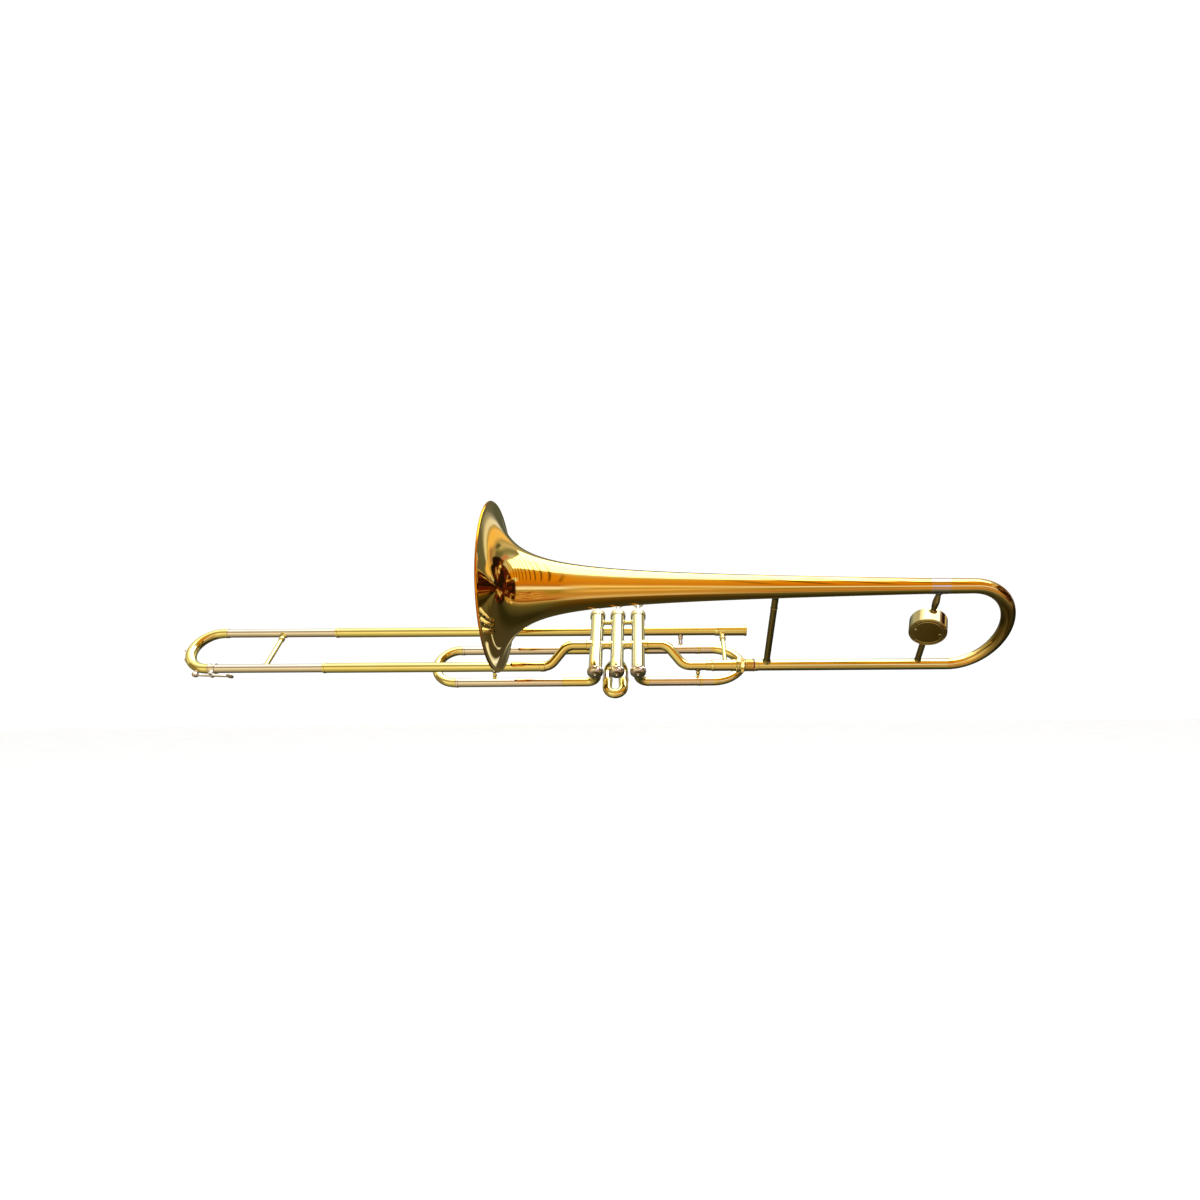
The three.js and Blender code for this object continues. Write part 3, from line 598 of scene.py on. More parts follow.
def bow_guard(centre, inner):
    """A crowned strip round the end of the bow, narrower at its two tips, and its bumper stud."""
    spread, half_width = math.radians(31), 3.5
    steps, across = 40, 8
    points, faces = [], []
    for i in range(steps + 1):
        t = -1 + 2 * i / steps
        angle = spread * t
        width = half_width * math.sqrt(max(1 - t ** 6, 0.04))
        way = UP * math.sin(angle) - X * math.cos(angle)
        for k in range(across + 1):
            w = -1 + 2 * k / across
            crown = 0.55 + 0.65 * (1 - w ** 4)
            points.append(centre + way * (inner - 1.2 * (w * width / BOW) ** 2 + crown) + BACK * (w * width))
        for k in range(across, -1, -1):
            w = -1 + 2 * k / across
            points.append(centre + way * (inner - 3.4 * (w * width / BOW) ** 2 - 0.1) + BACK * (w * width))
    ring = 2 * (across + 1)
    for i in range(steps):
        for k in range(ring):
            n = (k + 1) % ring
            faces.append((i * ring + k, i * ring + n, (i + 1) * ring + n, (i + 1) * ring + k))
    faces.append(tuple(range(ring)))
    faces.append(tuple(steps * ring + k for k in range(ring)))
    stud = straight(centre - X * (inner + 0.4), centre - X * (inner + 4.1))
    knob = tube(stud, [
        (0, 0), (0, 2.5), (0.6, 2.3), (0.9, 1.5), (1.5, 1.5), (1.9, 2.3), (3.1, 2.3), (3.6, 1.5), (3.7, 0),
    ], sides=32)
    piece("bow_guard_strip", [(points, faces), knob], nickel, "bow_guard", body="tuning_slide")


# ---- water key, under the lower leg of the tuning slide ----
def water_key():
    drop = 10.8  # from the leg's axis to the hinge
    low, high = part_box("water_key_saddle")
    hinge = valve.at((low.x + high.x) / 2 / MM, 0, -drop)
    key_saddle(hinge, drop)
    cup_at = hinge - X * 22
    key_lever(hinge, cup_at)

    stopper = straight(cup_at + UP * 0.3, cup_at + UP * 3.4)
    shell = tube(stopper, [(0, 0), (0, 3.3), (2.5, 3.3), (3.1, 2.7), (3.1, 0)], sides=32)
    piece("water_key_stopper", [shell], cork, "water_key_cork", body="water_key")
    nipple = straight(cup_at + UP * 3.5, cup_at + UP * 6.2)
    shell = tube(nipple, [(0, 1.4), (0, 2.3), (1.6, 2.5), (2.7, 3.6), (2.7, 1.4)], sides=32)
    piece("water_key_nipple", [shell], nickel, body="tuning_slide")
    spring = coil(hinge - BACK * 2.3, hinge + BACK * 2.3, 2.9, UP, turns=4, around=24)
    spring.append(spring[-1] + X * 7 + UP * 2.2)
    piece("water_key_spring", [wire(spring, 0.3)], steel, body="tuning_slide")


def key_saddle(hinge, drop):
    """A band round the leg with two ears, and the screw through them."""
    leg_axis = hinge + UP * drop
    band = straight(leg_axis - X * 6.2, leg_axis + X * 3.2)
    wrap = tube(band, [
        (0, 6), (0, 7.35), (1.4, 7.35), (1.9, 6.75), (7.5, 6.75), (8, 7.35), (9.4, 7.35), (9.4, 6),
    ])
    outline = [(-2.6, -5.2), (2.6, -5.2), (2.3, 0.4), (1.5, 1.9), (0, 2.5), (-1.5, 1.9), (-2.3, 0.4)]
    ears = [slab(outline, 1.6, hinge + BACK * offset, X, -UP, bevel=0.3) for offset in (-3.5, 3.5)]
    piece("water_key_saddle_band", [wrap, *ears], nickel, "water_key_saddle", body="tuning_slide")
    pin = straight(hinge - BACK * 5.6, hinge + BACK * 5.2)
    screw = tube(pin, [
        (0, 0), (0, 1.3), (0.5, 1.75), (0.9, 1.75), (0.95, 0.9), (10.2, 0.9), (10.8, 0.5), (10.8, 0),
    ], sides=24, corner=0.1)
    piece("water_key_screw", [screw], steel, "water_key_pin", body="tuning_slide")


def key_lever(hinge, cup_at):
    """The lever's arm and hub, the dish that holds the cork, and the finger pad."""
    outline = [
        (-22, -1.5), (-14, -1.9), (-6, -2.3), (-2.6, -2.4), (2.6, -2.4), (8, -2.9), (16, -3.3), (24, -3.8),
        (28, -3.6), (28, -2.5), (20, -2), (10, -0.6), (4, 1.2), (1.6, 2.2), (-1.6, 2.2), (-4, 0.9),
        (-12, -0.5), (-22, -0.6),
    ]
    arm = slab(outline, 2.6, hinge, X, UP, bevel=0.55)
    barrel = straight(hinge - BACK * 2.5, hinge + BACK * 2.5)
    hub = tube(barrel, [(0, 1.1), (0, 2.4), (5, 2.4), (5, 1.1)], sides=32)
    cup = straight(cup_at - UP * 2.4, cup_at + UP * 2)
    dish = tube(cup, [
        (0, 0), (0, 2.2), (0.6, 3.3), (2, 4.2), (4.4, 4.2), (4.4, 3.6), (2.6, 3.4), (2.6, 0),
    ], sides=40)
    touch_at = hinge + X * 26.5
    touch = straight(touch_at - UP * 3.7, touch_at - UP * 1.9)
    pad = tube(touch, [(0, 0), (0.2, 3.6), (0.9, 4.9), (1.5, 4.6), (1.3, 2.5), (1.2, 0)], sides=40)
    piece("water_key_arm", [arm, hub, dish, pad], nickel, "water_key_lever", body="water_key")


# ---- valves: heights are counted up a casing's axis from the lower tube's level ----
def valve_base(number):
    return valve.at((2 - number) * CASING_PITCH, CASING_Y, 0)


def upright(number, profile, sides=64, **more):
    """Turns a profile round a valve's axis."""
    path = Path(valve_base(number), UP, -BACK).line(1)
    return tube(path, profile, sides=sides, **more)


def casing_and_caps(number):
    low, high = -24, 78
    casing = [(low, CASING_BORE), (low, CASING), (high, CASING), (high, CASING_BORE)]
    node = f"valve_casing_{number}"
    piece(node + "_tube", [upright(number, casing)], casing_nickel, node)

    knurls, facets = 72, 288
    top = [
        (73, 9.3), (73, 10.3), (73.7, 10.75), (74.6, 10.75), (75, 10.35), (75.6, 10.35), (76, 10.75),
        (80.2, 10.75), (81.4, 10.3), (82.4, 9.4), (83, 7.6), (83, 3.6), (80, 3.6), (80, 9.3),
    ]
    shell = upright(number, top, sides=facets, ribs=(76.1, 79.9, knurls, 0.13))
    piece(f"top_cap_{number}_knurled", [shell], casing_nickel, f"top_cap_{number}")
    bottom = [
        (-31.2, 1.2), (-31.2, 2.4), (-30.8, 3), (-30.7, 4.6), (-30.2, 7.4), (-29.3, 9.2), (-28.2, 10.2),
        (-27.4, 10.6), (-25.6, 10.6), (-25.3, CAP), (-23.3, CAP), (-22.9, 10.4), (-22.9, 9.3), (-26.6, 9.3),
        (-29.2, 8.2), (-29.6, 6.4), (-29.7, 1.2),
    ]
    shell = upright(number, bottom, sides=facets, ribs=(-25.25, -23.35, knurls, 0.1))
    piece(f"bottom_cap_{number}_domed", [shell], nickel, f"bottom_cap_{number}")


def finger_button(number):
    """The piston's stem with its button, the button's pearl inlay and the felt under it."""
    seat = 99.8  # underside of the button
    stem = [
        (70.3, 0), (70.3, 4.5), (72, 4.5), (72, 2.4), (seat - 1.2, 2.4), (seat, 3.2), (seat, 6.2),
        (seat + 0.9, 7.5), (seat + 2.2, 7.7), (seat + 3.4, 7.5), (seat + 4.3, 6.9), (seat + 4.5, 6.2),
        (seat + 3.9, 6), (seat + 3.9, 0),
    ]
    node, body = f"finger_button_{number}", f"valve_{number}"
    piece(node + "_cap", [upright(number, stem)], nickel, node, body=body)
    inlay = [(seat + 3.95, 0), (seat + 3.95, 5.95), (seat + 4.4, 5.8), (seat + 4.45, 0)]
    piece(node + "_pearl", [upright(number, inlay)], pearl, body=body)
    washer = [(seat - 0.65, 3.3), (seat - 0.65, 6.2), (seat - 0.05, 6.2), (seat - 0.05, 3.3)]
    piece(node + "_felt", [upright(number, washer, corner=0.2)], felt, body=body)


def valves():
    for number in (1, 2, 3):
        casing_and_caps(number)
        finger_button(number)
        base = valve_base(number)
        spring = coil(base - UP * 28.9, base - UP * 20.1, 4.4, BACK, turns=6, around=20)
        piece(f"valve_spring_{number}_coil", [wire(spring, 0.45)], steel, f"valve_spring_{number}")
        piston = frame["nodes"][f"piston_{number}"].data
        piston.materials.clear()
        piston.materials.append(steel["material"])

    room = CASING_PITCH - 2 * CASING
    fit = (CASING, UP)
    knuckle = [
        (0, 4.6), (0, 6.3), (2.2, 6.3), (2.6, 5.5), (room - 2.6, 5.5), (room - 2.2, 6.3), (room, 6.3),
        (room, 4.6),
    ]
    spindle = post(room, 2, (4.2, 4.2), balls=[(3.6, 3.2), (room - 3.6, 3.2)], step=0.2)
    for pair, x in (("12", CASING_PITCH / 2), ("23", -CASING_PITCH / 2)):
        start = valve.at(x - room / 2, CASING_Y, PORT_Z)
        shell = tube(straight(start, start + X * room, UP), knuckle, cope=(fit, fit))
        piece(f"crossover_{pair}_tube", [shell], brass, f"crossover_{pair}")
        start = valve.at(x - room / 2, CASING_Y, BRACE_Z)
        shell = tube(straight(start, start + X * room, UP), spindle, corner=0, cope=(fit, fit))
        piece(f"casing_brace_{pair}_spindle", [shell], brass, f"casing_brace_{pair}")


# ---- valve slides ----
def sleeve(node, here, there, ring):
    """A straight outer tube, with a ring of the given width at its open end."""
    profile = ringed((there - here).length, LOOP, LOOP_BORE, end=ring)
    piece(node + "_tube", [tube(straight(here, there), profile)], nickel, node)


def crook(node, path, leg, plain=0):
    """The part that pulls out: a bent tube with its inner legs. plain is the length of straight nickel tube
    outside each sleeve."""
    total = path.length()
    ring, width, slope = 6.65, 3, 0.4
    inner = leg + width + slope
    profile = [
        (0, LOOP_LEG_BORE), (0, LOOP_LEG), (leg, LOOP_LEG), (leg, ring), (leg + width, ring), (inner, LOOP),
        (total - inner, LOOP), (total - leg - width, ring), (total - leg, ring), (total - leg, LOOP_LEG),
        (total, LOOP_LEG), (total, LOOP_LEG_BORE),
    ]
    body = node.replace("_crook", "")
    piece(node + "_tube", [tube(path, profile, corner=0.25)], brass, node, body=body)
    if plain:
        offset, skin, deep = 3.2, 0.08, 0.3
        length = plain - offset
        section = [(0, LOOP - deep), (0, LOOP + skin), (length, LOOP + skin), (length, LOOP - deep)]
        shells = []
        for s in (leg + offset, total - leg - plain):
            a, b = path.at(s)[0], path.at(s + length)[0]
            shells.append(tube(straight(a, b), section))
        piece(node + "_straights", shells, nickel, body=body)


def side_slides():
    """The first and third slides. Each leaves the back of its casing and turns along X."""
    fit = (CASING, UP)
    start = CASING_Y + CASING
    for number, casing_x, way, brass_run in ((1, CASING_PITCH, 1, 1.5), (3, -CASING_PITCH, -1, 34)):
        for level, z in (("upper", LOOP_TOP), ("lower", LOOP_BOTTOM)):
            node = f"slide_{number}_{level}_sleeve"
            left, right = span(node)
            path = Path(valve.at(casing_x, start, z), BACK, X * way)
            path.line(LOOP_Y - ELBOW - start).arc(ELBOW, 90).line(brass_run)
            total = path.length()
            profile = [
                (0, LOOP_LEG), (0, 7), (2.4, 7), (2.8, LOOP), (total - 2.7, LOOP), (total - 2.5, 6.55),
                (total, 6.55), (total, LOOP_LEG),
            ]
            shell = tube(path, profile, cope=(fit, None))
            piece(f"slide_{number}_{level}_elbow", [shell], brass)
            here = valve.at(casing_x + way * (ELBOW + brass_run), LOOP_Y, z)
            sleeve(node, here, valve.at(right if way > 0 else left, LOOP_Y, z), ring=3)

    half = (LOOP_TOP - LOOP_BOTTOM) / 2
    leg = 74
    path = Path(valve.at(span("slide_3_upper_sleeve")[0] - GAP + leg, LOOP_Y, LOOP_TOP), -X, -UP)
    crook("slide_3_crook", path.line(leg + 2).arc(half, 180).line(leg + 2), leg)

    leg, sweep, tip, forward = 52, 50, 18.5, 18.5
    cos = math.cos(math.radians(sweep))
    arm = (half - tip * cos) / (1 - cos)
    path = Path(valve.at(span("slide_1_upper_sleeve")[1] + GAP - leg, LOOP_Y, LOOP_TOP), X, -UP)
    path.line(leg + forward).arc(arm, sweep).arc(tip, 180 - 2 * sweep).arc(arm, sweep).line(leg + forward)
    crook("slide_1_crook", path, leg, plain=forward)


def bottom_slide():
    """The second slide. Its two legs come out of the front of the middle casing and turn down."""
    fit = (CASING, UP)
    legs, away_y, knuckle, port_z, sleeve_end = (8.9, -12.9), 15.5, 8, -7, -28.2
    for side, away_x in zip(("right", "left"), legs):
        reach = math.hypot(away_x, away_y)
        out = valve.way(away_x, away_y, 0)
        base = valve.at(0, CASING_Y, port_z) + out * CASING
        path = Path(base, out, -UP).line(reach - knuckle - CASING).arc(knuckle, 90).line(1.5)
        total = path.length()
        profile = [
            (0, LOOP_LEG), (0, 6.9), (0.6, 6.9), (0.9, LOOP), (total - 2, LOOP), (total - 1.8, 6.55),
            (total, 6.55), (total, LOOP_LEG),
        ]
        shell = tube(path, profile, cope=(fit, None), step=1)
        piece(f"slide_2_{side}_knuckle", [shell], brass)
        here = valve.at(away_x, CASING_Y + away_y, port_z - knuckle - 1.5)
        sleeve(f"slide_2_{side}_sleeve", here, valve.at(away_x, CASING_Y + away_y, sleeve_end), ring=2.5)
    leg, drop = 11, 11.2
    path = Path(valve.at(legs[0], CASING_Y + away_y, sleeve_end - GAP + leg), -UP, -X)
    crook("slide_2_crook", path.line(leg + drop).arc((legs[0] - legs[1]) / 2, 180).line(leg + drop), leg)


def slide_braces():
    upper, lower = (LOOP_Y, LOOP_TOP, LOOP), (LOOP_Y, LOOP_BOTTOM, LOOP)
    strut("slide_1_upper_brace", 90.5, (0, valve.spacing, TUBE), upper, 2.7, (4, 4), look=nickel,
          balls=[(3.6, 3.5)])
    strut("slide_1_lower_brace", 112.5, (0, 0, BEND), lower, 1.8, (4.2, 4.4), balls=[(4, 3)])
    strut("slide_3_brace", -171.5, (0, 0, TUBE), lower, 1.9, (3.6, 3.8), balls=[(5, 2.9)])


# ---- bell lock, neck, crook, bell and counterweight ----
def bell_lock():
    length, run = lying("lock_receiver")
    profile = [
        (-0.3, BORE), (-0.3, 7.2), (1.2, LOCK), (2.4, 8.1), (4, 8.1), (4.8, LOCK), (length - 6.4, LOCK),
        (length - 6, 8.3), (length, 8.3), (length, 6.9), (2, BORE),
    ]
    piece("lock_receiver_sleeve", [tube(run, profile)], brass, "lock_receiver")

    length, run = lying("lock_nut")
    profile = [
        (0, 7.95), (0, 9), (0.7, 10.2), (1.8, 10.4), (2.9, 10.2), (3.5, 9.4), (5.4, 9.4), (5.8, 10),
        (10, 10), (10.4, 9.5), (length - 0.9, 9.2), (length, 8.6), (length, 7.95),
    ]
    shell = tube(run, profile, sides=288, ribs=(5.85, 9.95, 60, 0.28))
    piece("lock_nut_knurled", [shell], brass, "lock_nut", body="lock_nut")

    length, run = lying("neck_lock_sleeve")
    shoulder, pitch, ring = length - 12.4, 2.3, 2.2
    profile = [(0, 7), (0, 7.5), (shoulder, 7.5), (shoulder, 8.2)]
    for k in range(4):
        s = shoulder + 0.6 + pitch * k
        profile += [(s, 8.75), (s + 1.1, 8.75), (s + 1.5, 8.1), (s + 2, 8.1)]
    profile += [(length - 2.4, 8.3), (length, 8.3), (length, 7)]
    shell = tube(run, profile, corner=0.25)
    piece("neck_lock_sleeve_ribbed", [shell], bell_brass, "neck_lock_sleeve")
    right = span("neck_lock_sleeve")[1]
    run = straight(valve.at(right - ring, 0, 0), valve.at(right, 0, 0))
    piece("neck_lock_band", [tube(run, [(0, 8), (0, 8.9), (ring, 8.9), (ring, 8)])], red_band)


def neck_and_crook():
    length, run = lying("neckpipe", plane=bell)
    profile = [(0, 7.1), (0, 8.3), (5, 8.3), (5.4, NECK), (length, NECK), (length, 7.1)]
    piece("neckpipe_tube", [tube(run, profile)], brass, "neckpipe")

    # The crook widens evenly from the neckpipe to the bell's tail.
    crook_x = span("neckpipe")[1] + GAP
    path = Path(bell.at(crook_x, 0, 0), X, bell.way(0, 0, 1))
    path.arc(bell.spacing / 2, 180).line(crook_x - span("bell_ferrule")[1])
    total, steps, wall = path.length(), 160, 0.7
    outer = [(total * i / steps, NECK + (TAIL - NECK) * i / steps) for i in range(steps + 1)]
    outer.insert(0, (-0.3, NECK))
    inner = [(s, r - wall) for s, r in reversed(outer)]
    # The crook's finish carries painted shade at its +X end.
    piece("rear_crook_tube", [tube(path, outer + inner, sides=64, corner=0)], crook_brass_painted_shade, "rear_crook")

    length, run = lying("bell_ferrule", bell.spacing, bell)
    profile = [(-0.3, 9.6), (-0.3, FERRULE), (length, FERRULE), (length, 9.6)]
    shell = tube(run, profile, sides=64, corner=0.15)
    piece("bell_ferrule_band", [shell], warm_nickel, "bell_ferrule")


def bell_and_brace():
    """A slow cone that flares as a power of the distance from just past the rim, with a rolled rim."""
    left, right = -149.5, span("bell")[1]
    rim, flare_start, power, cone, skin, bead = 106.4, 18.5, 0.85, 0.012, 1, 1.25
    reach = right - left
    tail = (reach + flare_start) ** -power
    gain = (rim - TAIL - cone * reach) / (flare_start ** -power - tail)

    def radius_at(d):
        return TAIL + cone * (reach - d) + gain * ((d + flare_start) ** -power - tail)

    steps = 150
    stations = [reach * (i / steps) ** 2.2 for i in range(steps, 0, -1)]
    outside = [(d, radius_at(d)) for d in stations if d > bead]
    roll = []
    for k in range(15):
        angle = math.radians(20 - 20 * k)
        roll.append((bead * math.cos(angle), rim - 0.35 + bead * math.sin(angle)))
    inside = [(d + 0.4, r - skin) for d, r in reversed(outside)]
    run = straight(bell.at(left, 0, bell.spacing), bell.at(right, 0, bell.spacing))
    shell = tube(run, outside + roll + inside, sides=224, corner=0)
    piece("bell_spun", [shell], bell_brass, "bell")

    brace_x = 207.5
    stem = (0, bell.spacing, radius_at(brace_x - left))
    strut("bell_brace", brace_x, stem, (0, 0, NECK), 4.4, (5.9, 6.2), look=shaded_brass, plane=bell,
          rings=[(17, 5, 1.6)])


def counterweight():
    """A drum between two rods, with stepped rings and two pins on its faces."""
    low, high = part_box("counterweight")
    centre = (low + high) / 2 / MM
    tip, swing = math.radians(12), math.radians(18)
    axis = bell.way(math.sin(swing), math.cos(swing) * math.cos(tip), math.cos(swing) * math.sin(tip))
    half = 11.5
    front = [
        (0, 13.2), (0, 18.2), (0.5, 18.4), (0.5, 19), (0, 19.2), (0, 21.2), (0.5, 21.4), (0.5, 22),
        (0, 22.2), (0, 23.1), (0.9, DRUM),
    ]
    rear = [(2 * half - s, r) for s, r in reversed(front)]
    profile = [(0, 0), *front, *rear, (2 * half, 0)]
    drum = tube(straight(centre - axis * half, centre + axis * half), profile, sides=144, corner=0.25)
    pins = []
    sideways = (X - axis * X.dot(axis)).normalized()
    for sign in (-1, 1):
        at = centre + sideways * 15.6 * sign
        run = straight(at - axis * (half + 0.7), at - axis * (half - 1))
        pins.append(tube(run, [(0, 0), (0, 1.5), (0.5, 2), (1.7, 2), (1.7, 0)], sides=32))
    piece("counterweight_drum", [drum, *pins], drum_brass, "counterweight")

    rim = (0, bell.spacing / 2, DRUM + 0.5)
    strut("counterweight_upper_rod", centre.x, (0, bell.spacing, FERRULE), rim, 3.2, (5.2, 5.4),
          look=shaded_brass, plane=bell, swell=1.3)
    strut("counterweight_lower_rod", centre.x, rim, (0, 0, NECK), 4.1, (4.9, 5),
          look=shaded_brass, plane=bell)


main_tubing()
tuning_slide()
water_key()
valves()
side_slides()
bottom_slide()
slide_braces()
bell_lock()
neck_and_crook()
bell_and_brace()
counterweight()


# ---- stage: floor, light, camera ----
def showroom(g):
    """What polished metal sees: ceiling lights with slats, a warm wall in front and a dark floor. ax is a
    direction's angle towards +X, and up its angle round X from the viewer's side, both in degrees."""
    way = g.node("TexCoord").outputs["Generated"]
    x, y, z = g.node("SeparateXYZ", {"Vector": way}).outputs
    to_degrees = 180 / math.pi
    up = g.times(g.math("ARCTAN2", z, g.times(y, -1)), to_degrees)
    ax = g.times(g.math("ARCSINE", x), to_degrees)
    turn = g.math("ADD", g.math("DIVIDE", up, 360), 0.5)

    def bands(stops):
        """Colours that change with up."""
        return g.ramp(turn, [((degrees + 180) / 360, color) for degrees, color in stops])

    def level(stops):
        """A number that changes with ax: an angle round X between -180 and 180."""
        grey = g.ramp(g.math("ADD", g.math("DIVIDE", ax, 180), 0.5), [
            ((degrees + 90) / 180, (value / 180,) * 3) for degrees, value in stops])
        return g.times(grey, 180)

    def above(value, start, width):
        """0 up to start, then rising to 1 over the width."""
        return g.math("DIVIDE", g.math("SUBTRACT", value, start), width, clamp=True)

    def below(value, end, width):
        """0 down to end, then rising to 1 over the width."""
        return g.math("DIVIDE", g.math("SUBTRACT", end, value), width, clamp=True)

    def within(value, centre, half, soft):
        off = g.math("ABSOLUTE", g.math("SUBTRACT", value, centre))
        return g.math("ADD", g.math("DIVIDE", g.math("SUBTRACT", half, off), soft), 0.5, clamp=True)

    def window(ax_mid, ax_half, ax_soft, up_mid, up_half, up_soft):
        """1 inside a box of directions, with soft edges."""
        return g.times(within(ax, ax_mid, ax_half, ax_soft), within(up, up_mid, up_half, up_soft))

    # The walls and the floor, in three parts from left to right.
    edge = (0.09, 0.08, 0.045)
    left = bands([
        (-180, edge), (-150, (0.055, 0.05, 0.022)), (-110, (0.12, 0.1, 0.05)), (-86, (0.28, 0.22, 0.12)),
        (-54, (0.58, 0.46, 0.24)), (-26, (0.84, 0.68, 0.36)), (-8, (1.15, 0.94, 0.58)),
        (6, (1.15, 0.94, 0.58)), (16, (0.5, 0.36, 0.18)), (34, (0.42, 0.3, 0.15)), (54, (0.75, 0.62, 0.42)),
        (144, (0.75, 0.7, 0.55)), (156, (0.4, 0.4, 0.34)), (180, (0.3, 0.3, 0.24)),
    ])
    centre = bands([
        (-180, edge), (-160, (0.06, 0.055, 0.03)), (-124, (0.045, 0.042, 0.03)),
        (-100, (0.056, 0.042, 0.013)), (-84, (0.1, 0.055, 0.01)), (-68, (0.17, 0.1, 0.022)),
        (-62, (0.72, 0.58, 0.5)), (-54, (0.72, 0.58, 0.5)), (-47, (0.58, 0.35, 0.13)),
        (-34, (0.56, 0.32, 0.1)), (-27, (0.86, 0.6, 0.3)), (-20, (0.86, 0.6, 0.3)), (-13, (0.5, 0.33, 0.1)),
        (-6, (0.8, 0.62, 0.34)), (-3, (1.1, 0.9, 0.62)), (2, (1.1, 0.86, 0.6)), (6, (0.72, 0.42, 0.14)),
        (14, (0.66, 0.31, 0.05)), (34, (0.78, 0.36, 0.03)), (50, (0.74, 0.44, 0.1)),
        (60, (0.9, 0.88, 0.95)), (128, (0.42, 0.46, 0.4)), (140, (0.3, 0.33, 0.26)),
        (156, (0.1, 0.11, 0.07)), (168, (0.09, 0.1, 0.06)), (180, (0.16, 0.15, 0.09)),
    ])
    right = bands([
        (-180, (0.16, 0.14, 0.07)), (-172, (0.07, 0.06, 0.035)), (-150, (0.065, 0.06, 0.045)),
        (-130, (0.03, 0.028, 0.012)), (-112, (0.03, 0.028, 0.014)), (-94, (0.07, 0.07, 0.045)),
        (-76, (0.12, 0.11, 0.055)), (-66, (0.3, 0.24, 0.16)), (-62, (0.62, 0.5, 0.34)),
        (-58, (0.27, 0.1, 0.01)), (-48, (0.6, 0.3, 0.14)), (-38, (0.55, 0.31, 0.12)),
        (-27, (0.38, 0.25, 0.04)), (-16, (0.43, 0.37, 0.16)), (-12, (1.05, 1.05, 1.5)),
        (-6, (1.05, 1.05, 1.5)), (1, (0.52, 0.22, 0.03)), (14, (0.68, 0.25, 0.006)),
        (30, (0.77, 0.31, 0.01)), (50, (0.74, 0.33, 0.02)), (60, (0.8, 0.55, 0.22)),
        (98, (0.66, 0.72, 0.85)), (110, (0.3, 0.31, 0.28)), (118, (0.26, 0.28, 0.25)),
        (127, (0.66, 0.62, 0.5)), (136, (0.5, 0.42, 0.26)), (141, (1, 0.7, 0.28)),
        (148, (1, 0.68, 0.24)), (150, (0.4, 0.32, 0.12)), (152.5, (1.1, 1.15, 1.3)),
        (155.5, (0.15, 0.16, 0.13)), (180, (0.1, 0.1, 0.07)),
    ])
    color = g.mix(above(ax, -14, 12), left, centre)
    color = g.mix(above(ax, 8, 7), color, right)

    # Single panels: the middle and half size in ax, the same in up, the colour, and how soft the edge is.
    for ax_mid, ax_half, up_mid, up_half, rgb, soft in (
        (42, 4.5, 131, 3.5, (0.12, 0.12, 0.1), 4),
        (53, 7, 141, 5, (0.42, 0.27, 0.2), 5),
        (54, 8, 122, 10, (0.17, 0.17, 0.13), 8),
        (51, 8, 103, 6, (0.6, 0.3, 0.26), 6),
        (53, 6, 172, 2.5, (0.8, 0.68, 0.6), 3),
        (24, 14, 170, 1.3, (0.75, 0.74, 0.62), 2),
        (34, 12, -167.5, 0.5, (1, 1.05, 1.2), 0.9),
        (25, 9, -173.5, 0.7, (1.1, 1.2, 1.4), 0.9),
        (5, 3, -172, 2.5, (0.62, 0.58, 0.42), 4),
        (58, 6, 155, 4.5, (1, 0.7, 0.28), 3),
        (54, 4, 24, 7, (1.05, 0.95, 0.7), 5),
    ):
        color = g.mix(window(ax_mid, ax_half, soft, up_mid, up_half, soft), color, rgb)
    color = g.mix(below(ax, -46, 14), color, (0.28, 0.2, 0.09))

    # The lit ceiling, white on the right and dimmer to the left.
    top = level([
        (-90, 112), (-16, 116), (-4, 132), (0, 130), (13, 128), (18, 126), (22, 112), (31, 101), (40, 94),
        (90, 90),
    ])
    bottom = level([(-90, 56), (-14, 56), (0, 62), (14, 61), (30, 60), (48, 62), (90, 62)])
    ceiling = g.times(below(up, top, 3), above(up, bottom, 4))
    ceiling = g.times(ceiling, below(ax, 51, 4))
    lamp = g.mix(below(ax, -8, 10), (WHITE, WHITE * 0.99, WHITE * 0.96), (1.6, 1.52, 1.35))
    lamp = g.mix(below(ax, -32, 10), lamp, (0.85, 0.72, 0.42))
    color = g.mix(ceiling, color, lamp)

    # Thin dark slats across the ceiling, 4.6 degrees apart.
    slanted = g.math("ADD", ax, g.times(up, 0.1))
    wave = g.math("ABSOLUTE", g.math("SINE", g.times(slanted, math.pi / 4.6)))
    slats = g.times(g.math("POWER", wave, 11), window(34, 22, 6, 58, 38, 12))
    shade = g.math("SUBTRACT", 1, g.times(slats, 0.8))
    color = g.mix(1, color, g.node("CombineColor", {0: shade, 1: shade, 2: shade}).outputs[0], "MULTIPLY")

    # Red and gold streaks low in front.
    place = g.node("CombineXYZ", {0: g.math("DIVIDE", ax, 15), 1: g.math("DIVIDE", up, 3.2)}).outputs[0]
    stripes = g.noise(place, 1, 3, 0.6)
    streaks = g.ramp(stripes, [
        (0.34, (0.16, 0.05, 0.02)), (0.44, (0.55, 0.1, 0.03)), (0.5, (0.58, 0.34, 0.12)),
        (0.58, (0.8, 0.64, 0.26)), (0.64, (0.4, 0.08, 0.03)), (0.72, (0.3, 0.26, 0.12)),
    ])
    color = g.mix(window(37, 15, 8, -34, 15, 5), color, streaks)

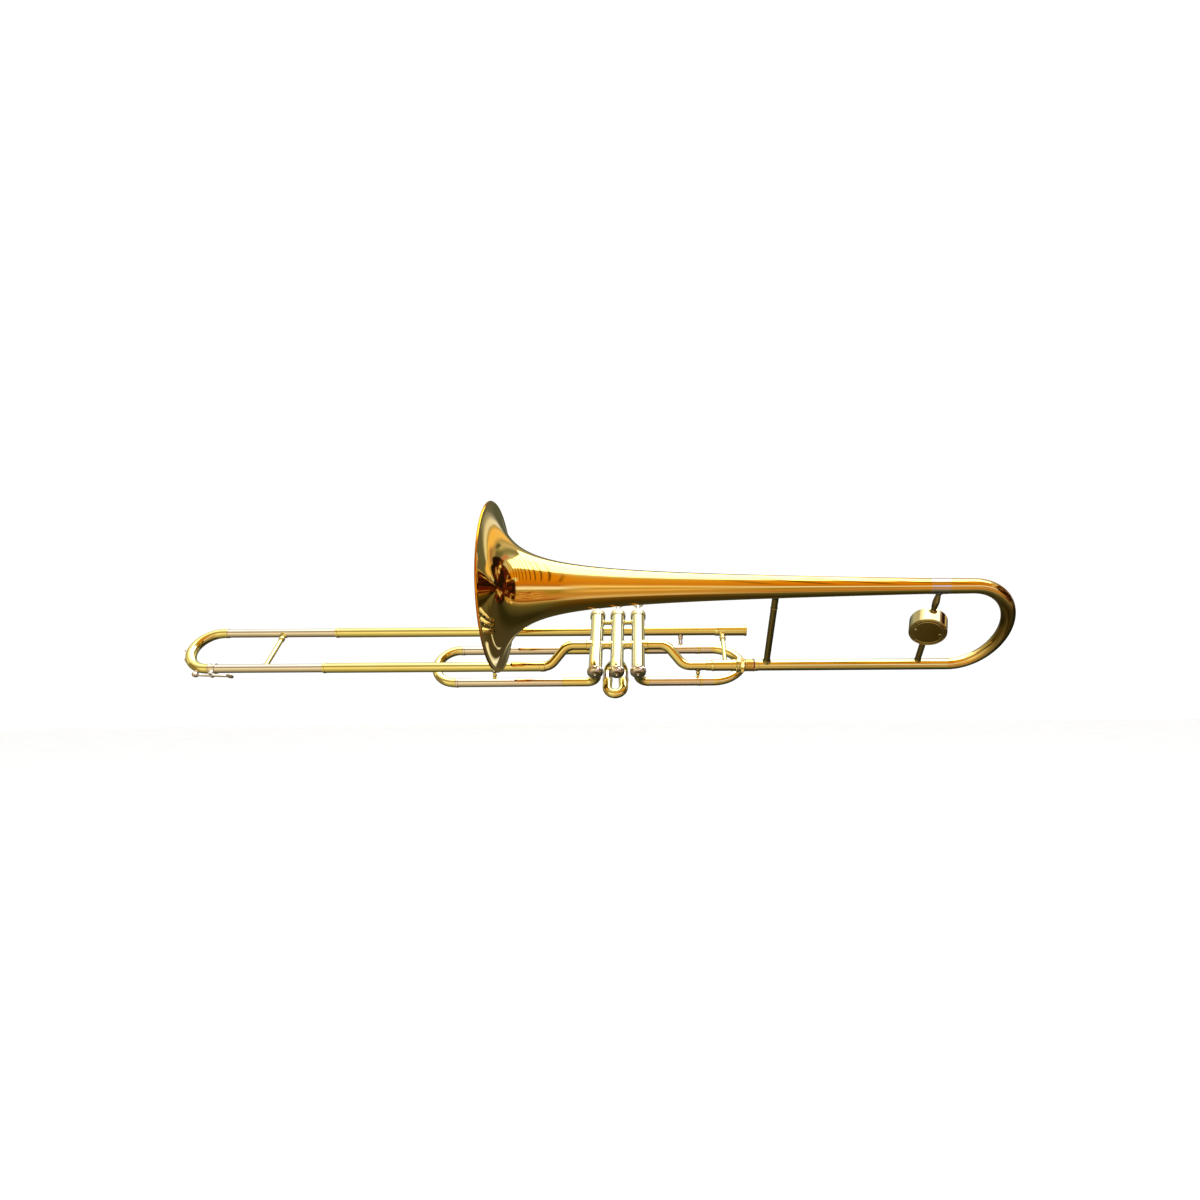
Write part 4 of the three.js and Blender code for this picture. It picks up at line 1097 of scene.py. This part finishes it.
    # A dark cluttered shelf at the right end, with a gold shine below it.
    clutter = g.noise(way, 5.2, 3, 0.58)
    shelf = g.ramp(clutter, [
        (0, (0.01, 0.006, 0.003)), (0.49, (0.018, 0.009, 0.005)), (0.52, (0.12, 0.016, 0.01)),
        (0.56, (0.1, 0.014, 0.008)), (0.59, (0.03, 0.014, 0.008)), (0.63, (0.6, 0.3, 0.1)),
        (0.66, (0.1, 0.05, 0.02)), (0.69, (1, 0.9, 0.6)),
    ])
    mask = within(ax, 90, 17, 3)
    for area in ((80, 20, 3, 88, 60, 8), (76, 21, 3, -14, 40, 8), (70, 15, 2, 116, 22, 5)):
        mask = g.math("MAXIMUM", mask, window(*area))
    color = g.mix(mask, color, shelf)
    shine = g.ramp(clutter, [(0.4, (0.12, 0.06, 0.02)), (0.5, (0.6, 0.38, 0.12)), (0.6, (0.95, 0.85, 0.6))])
    color = g.mix(window(66, 9, 4, -64, 9, 6), color, shine)
    color = g.mix(window(68, 9, 5, 168, 10, 5), color, (0.28, 0.2, 0.12))
    return g.mix(window(68, 9, 4, -175, 5, 4), color, (0.15, 0.14, 0.08))


def world():
    """White for the camera and soft white light, and the showroom in reflections."""
    made = bpy.data.worlds.new("studio")
    scene.world = made
    made.use_nodes = True
    g = Graph(made.node_tree)
    glossy = g.node("LightPath").outputs["Is Glossy Ray"]
    studio = g.node("Background", {"Color": showroom(g), "Strength": 1})
    plain = g.node("Background", {"Color": (1, 1, 1), "Strength": 1.05})
    both = g.node("MixShader", {0: glossy, 1: plain.outputs[0], 2: studio.outputs[0]})
    g.node("OutputWorld", {"Surface": both.outputs[0]})


def floor():
    size, height = 6, -0.42
    bm = bmesh.new()
    bmesh.ops.create_grid(bm, x_segments=24, y_segments=24, size=size)
    mesh = bpy.data.meshes.new("floor")
    bm.to_mesh(mesh)
    bm.free()
    obj = added("floor", mesh)
    obj.location = (0, 0, height)
    g, look = finish("pale_floor")
    place = g.node("TexCoord").outputs["Object"]
    grain = g.noise(place, 6, 5)
    tone = g.ramp(grain, [(0.3, (0.9, 0.9, 0.89)), (0.7, (0.94, 0.94, 0.93))])
    g.principled({"Base Color": tone, "Roughness": 0.9})
    mesh.materials.append(look["material"])
    obj.visible_glossy = False


def lights():
    for name, place, size, power in (
        ("key", (0.5, -1.2, 1.7), 1.8, 26),
        ("fill", (-1.4, -1, 1), 1.4, 12),
        ("back", (0.2, 1.4, 1.3), 1.6, 12),
    ):
        data = bpy.data.lights.new(name, "AREA")
        data.shape = "DISK"
        data.size = size
        data.energy = power
        obj = added(name, data)
        obj.location = place
        obj.rotation_mode = "QUATERNION"
        obj.rotation_quaternion = (-Vector(place)).to_track_quat("-Z", "Y")
        obj.visible_camera = False
        obj.visible_glossy = False


def camera():
    place, yaw, roll = Vector((0.0370, -0.9091, -0.0699)), -0.009, -0.007
    forward = Vector((-math.sin(yaw), math.cos(yaw), 0))
    level = Vector((math.cos(yaw), math.sin(yaw), 0))
    up = Vector((0, 0, 1))
    right = level * math.cos(roll) + up * math.sin(roll)
    high = up * math.cos(roll) - level * math.sin(roll)
    data = bpy.data.cameras.new("camera")
    data.lens, data.sensor_width = 19.47, 36
    data.shift_x, data.shift_y = -0.0417, 0.075
    obj = added("camera", data)
    turn = Matrix((right, high, -forward)).transposed()
    obj.matrix_world = Matrix.Translation(place) @ turn.to_4x4()
    scene.camera = obj


world()
floor()
lights()
camera()
scene.view_settings.view_transform = "Standard"
scene.view_settings.look = "None"
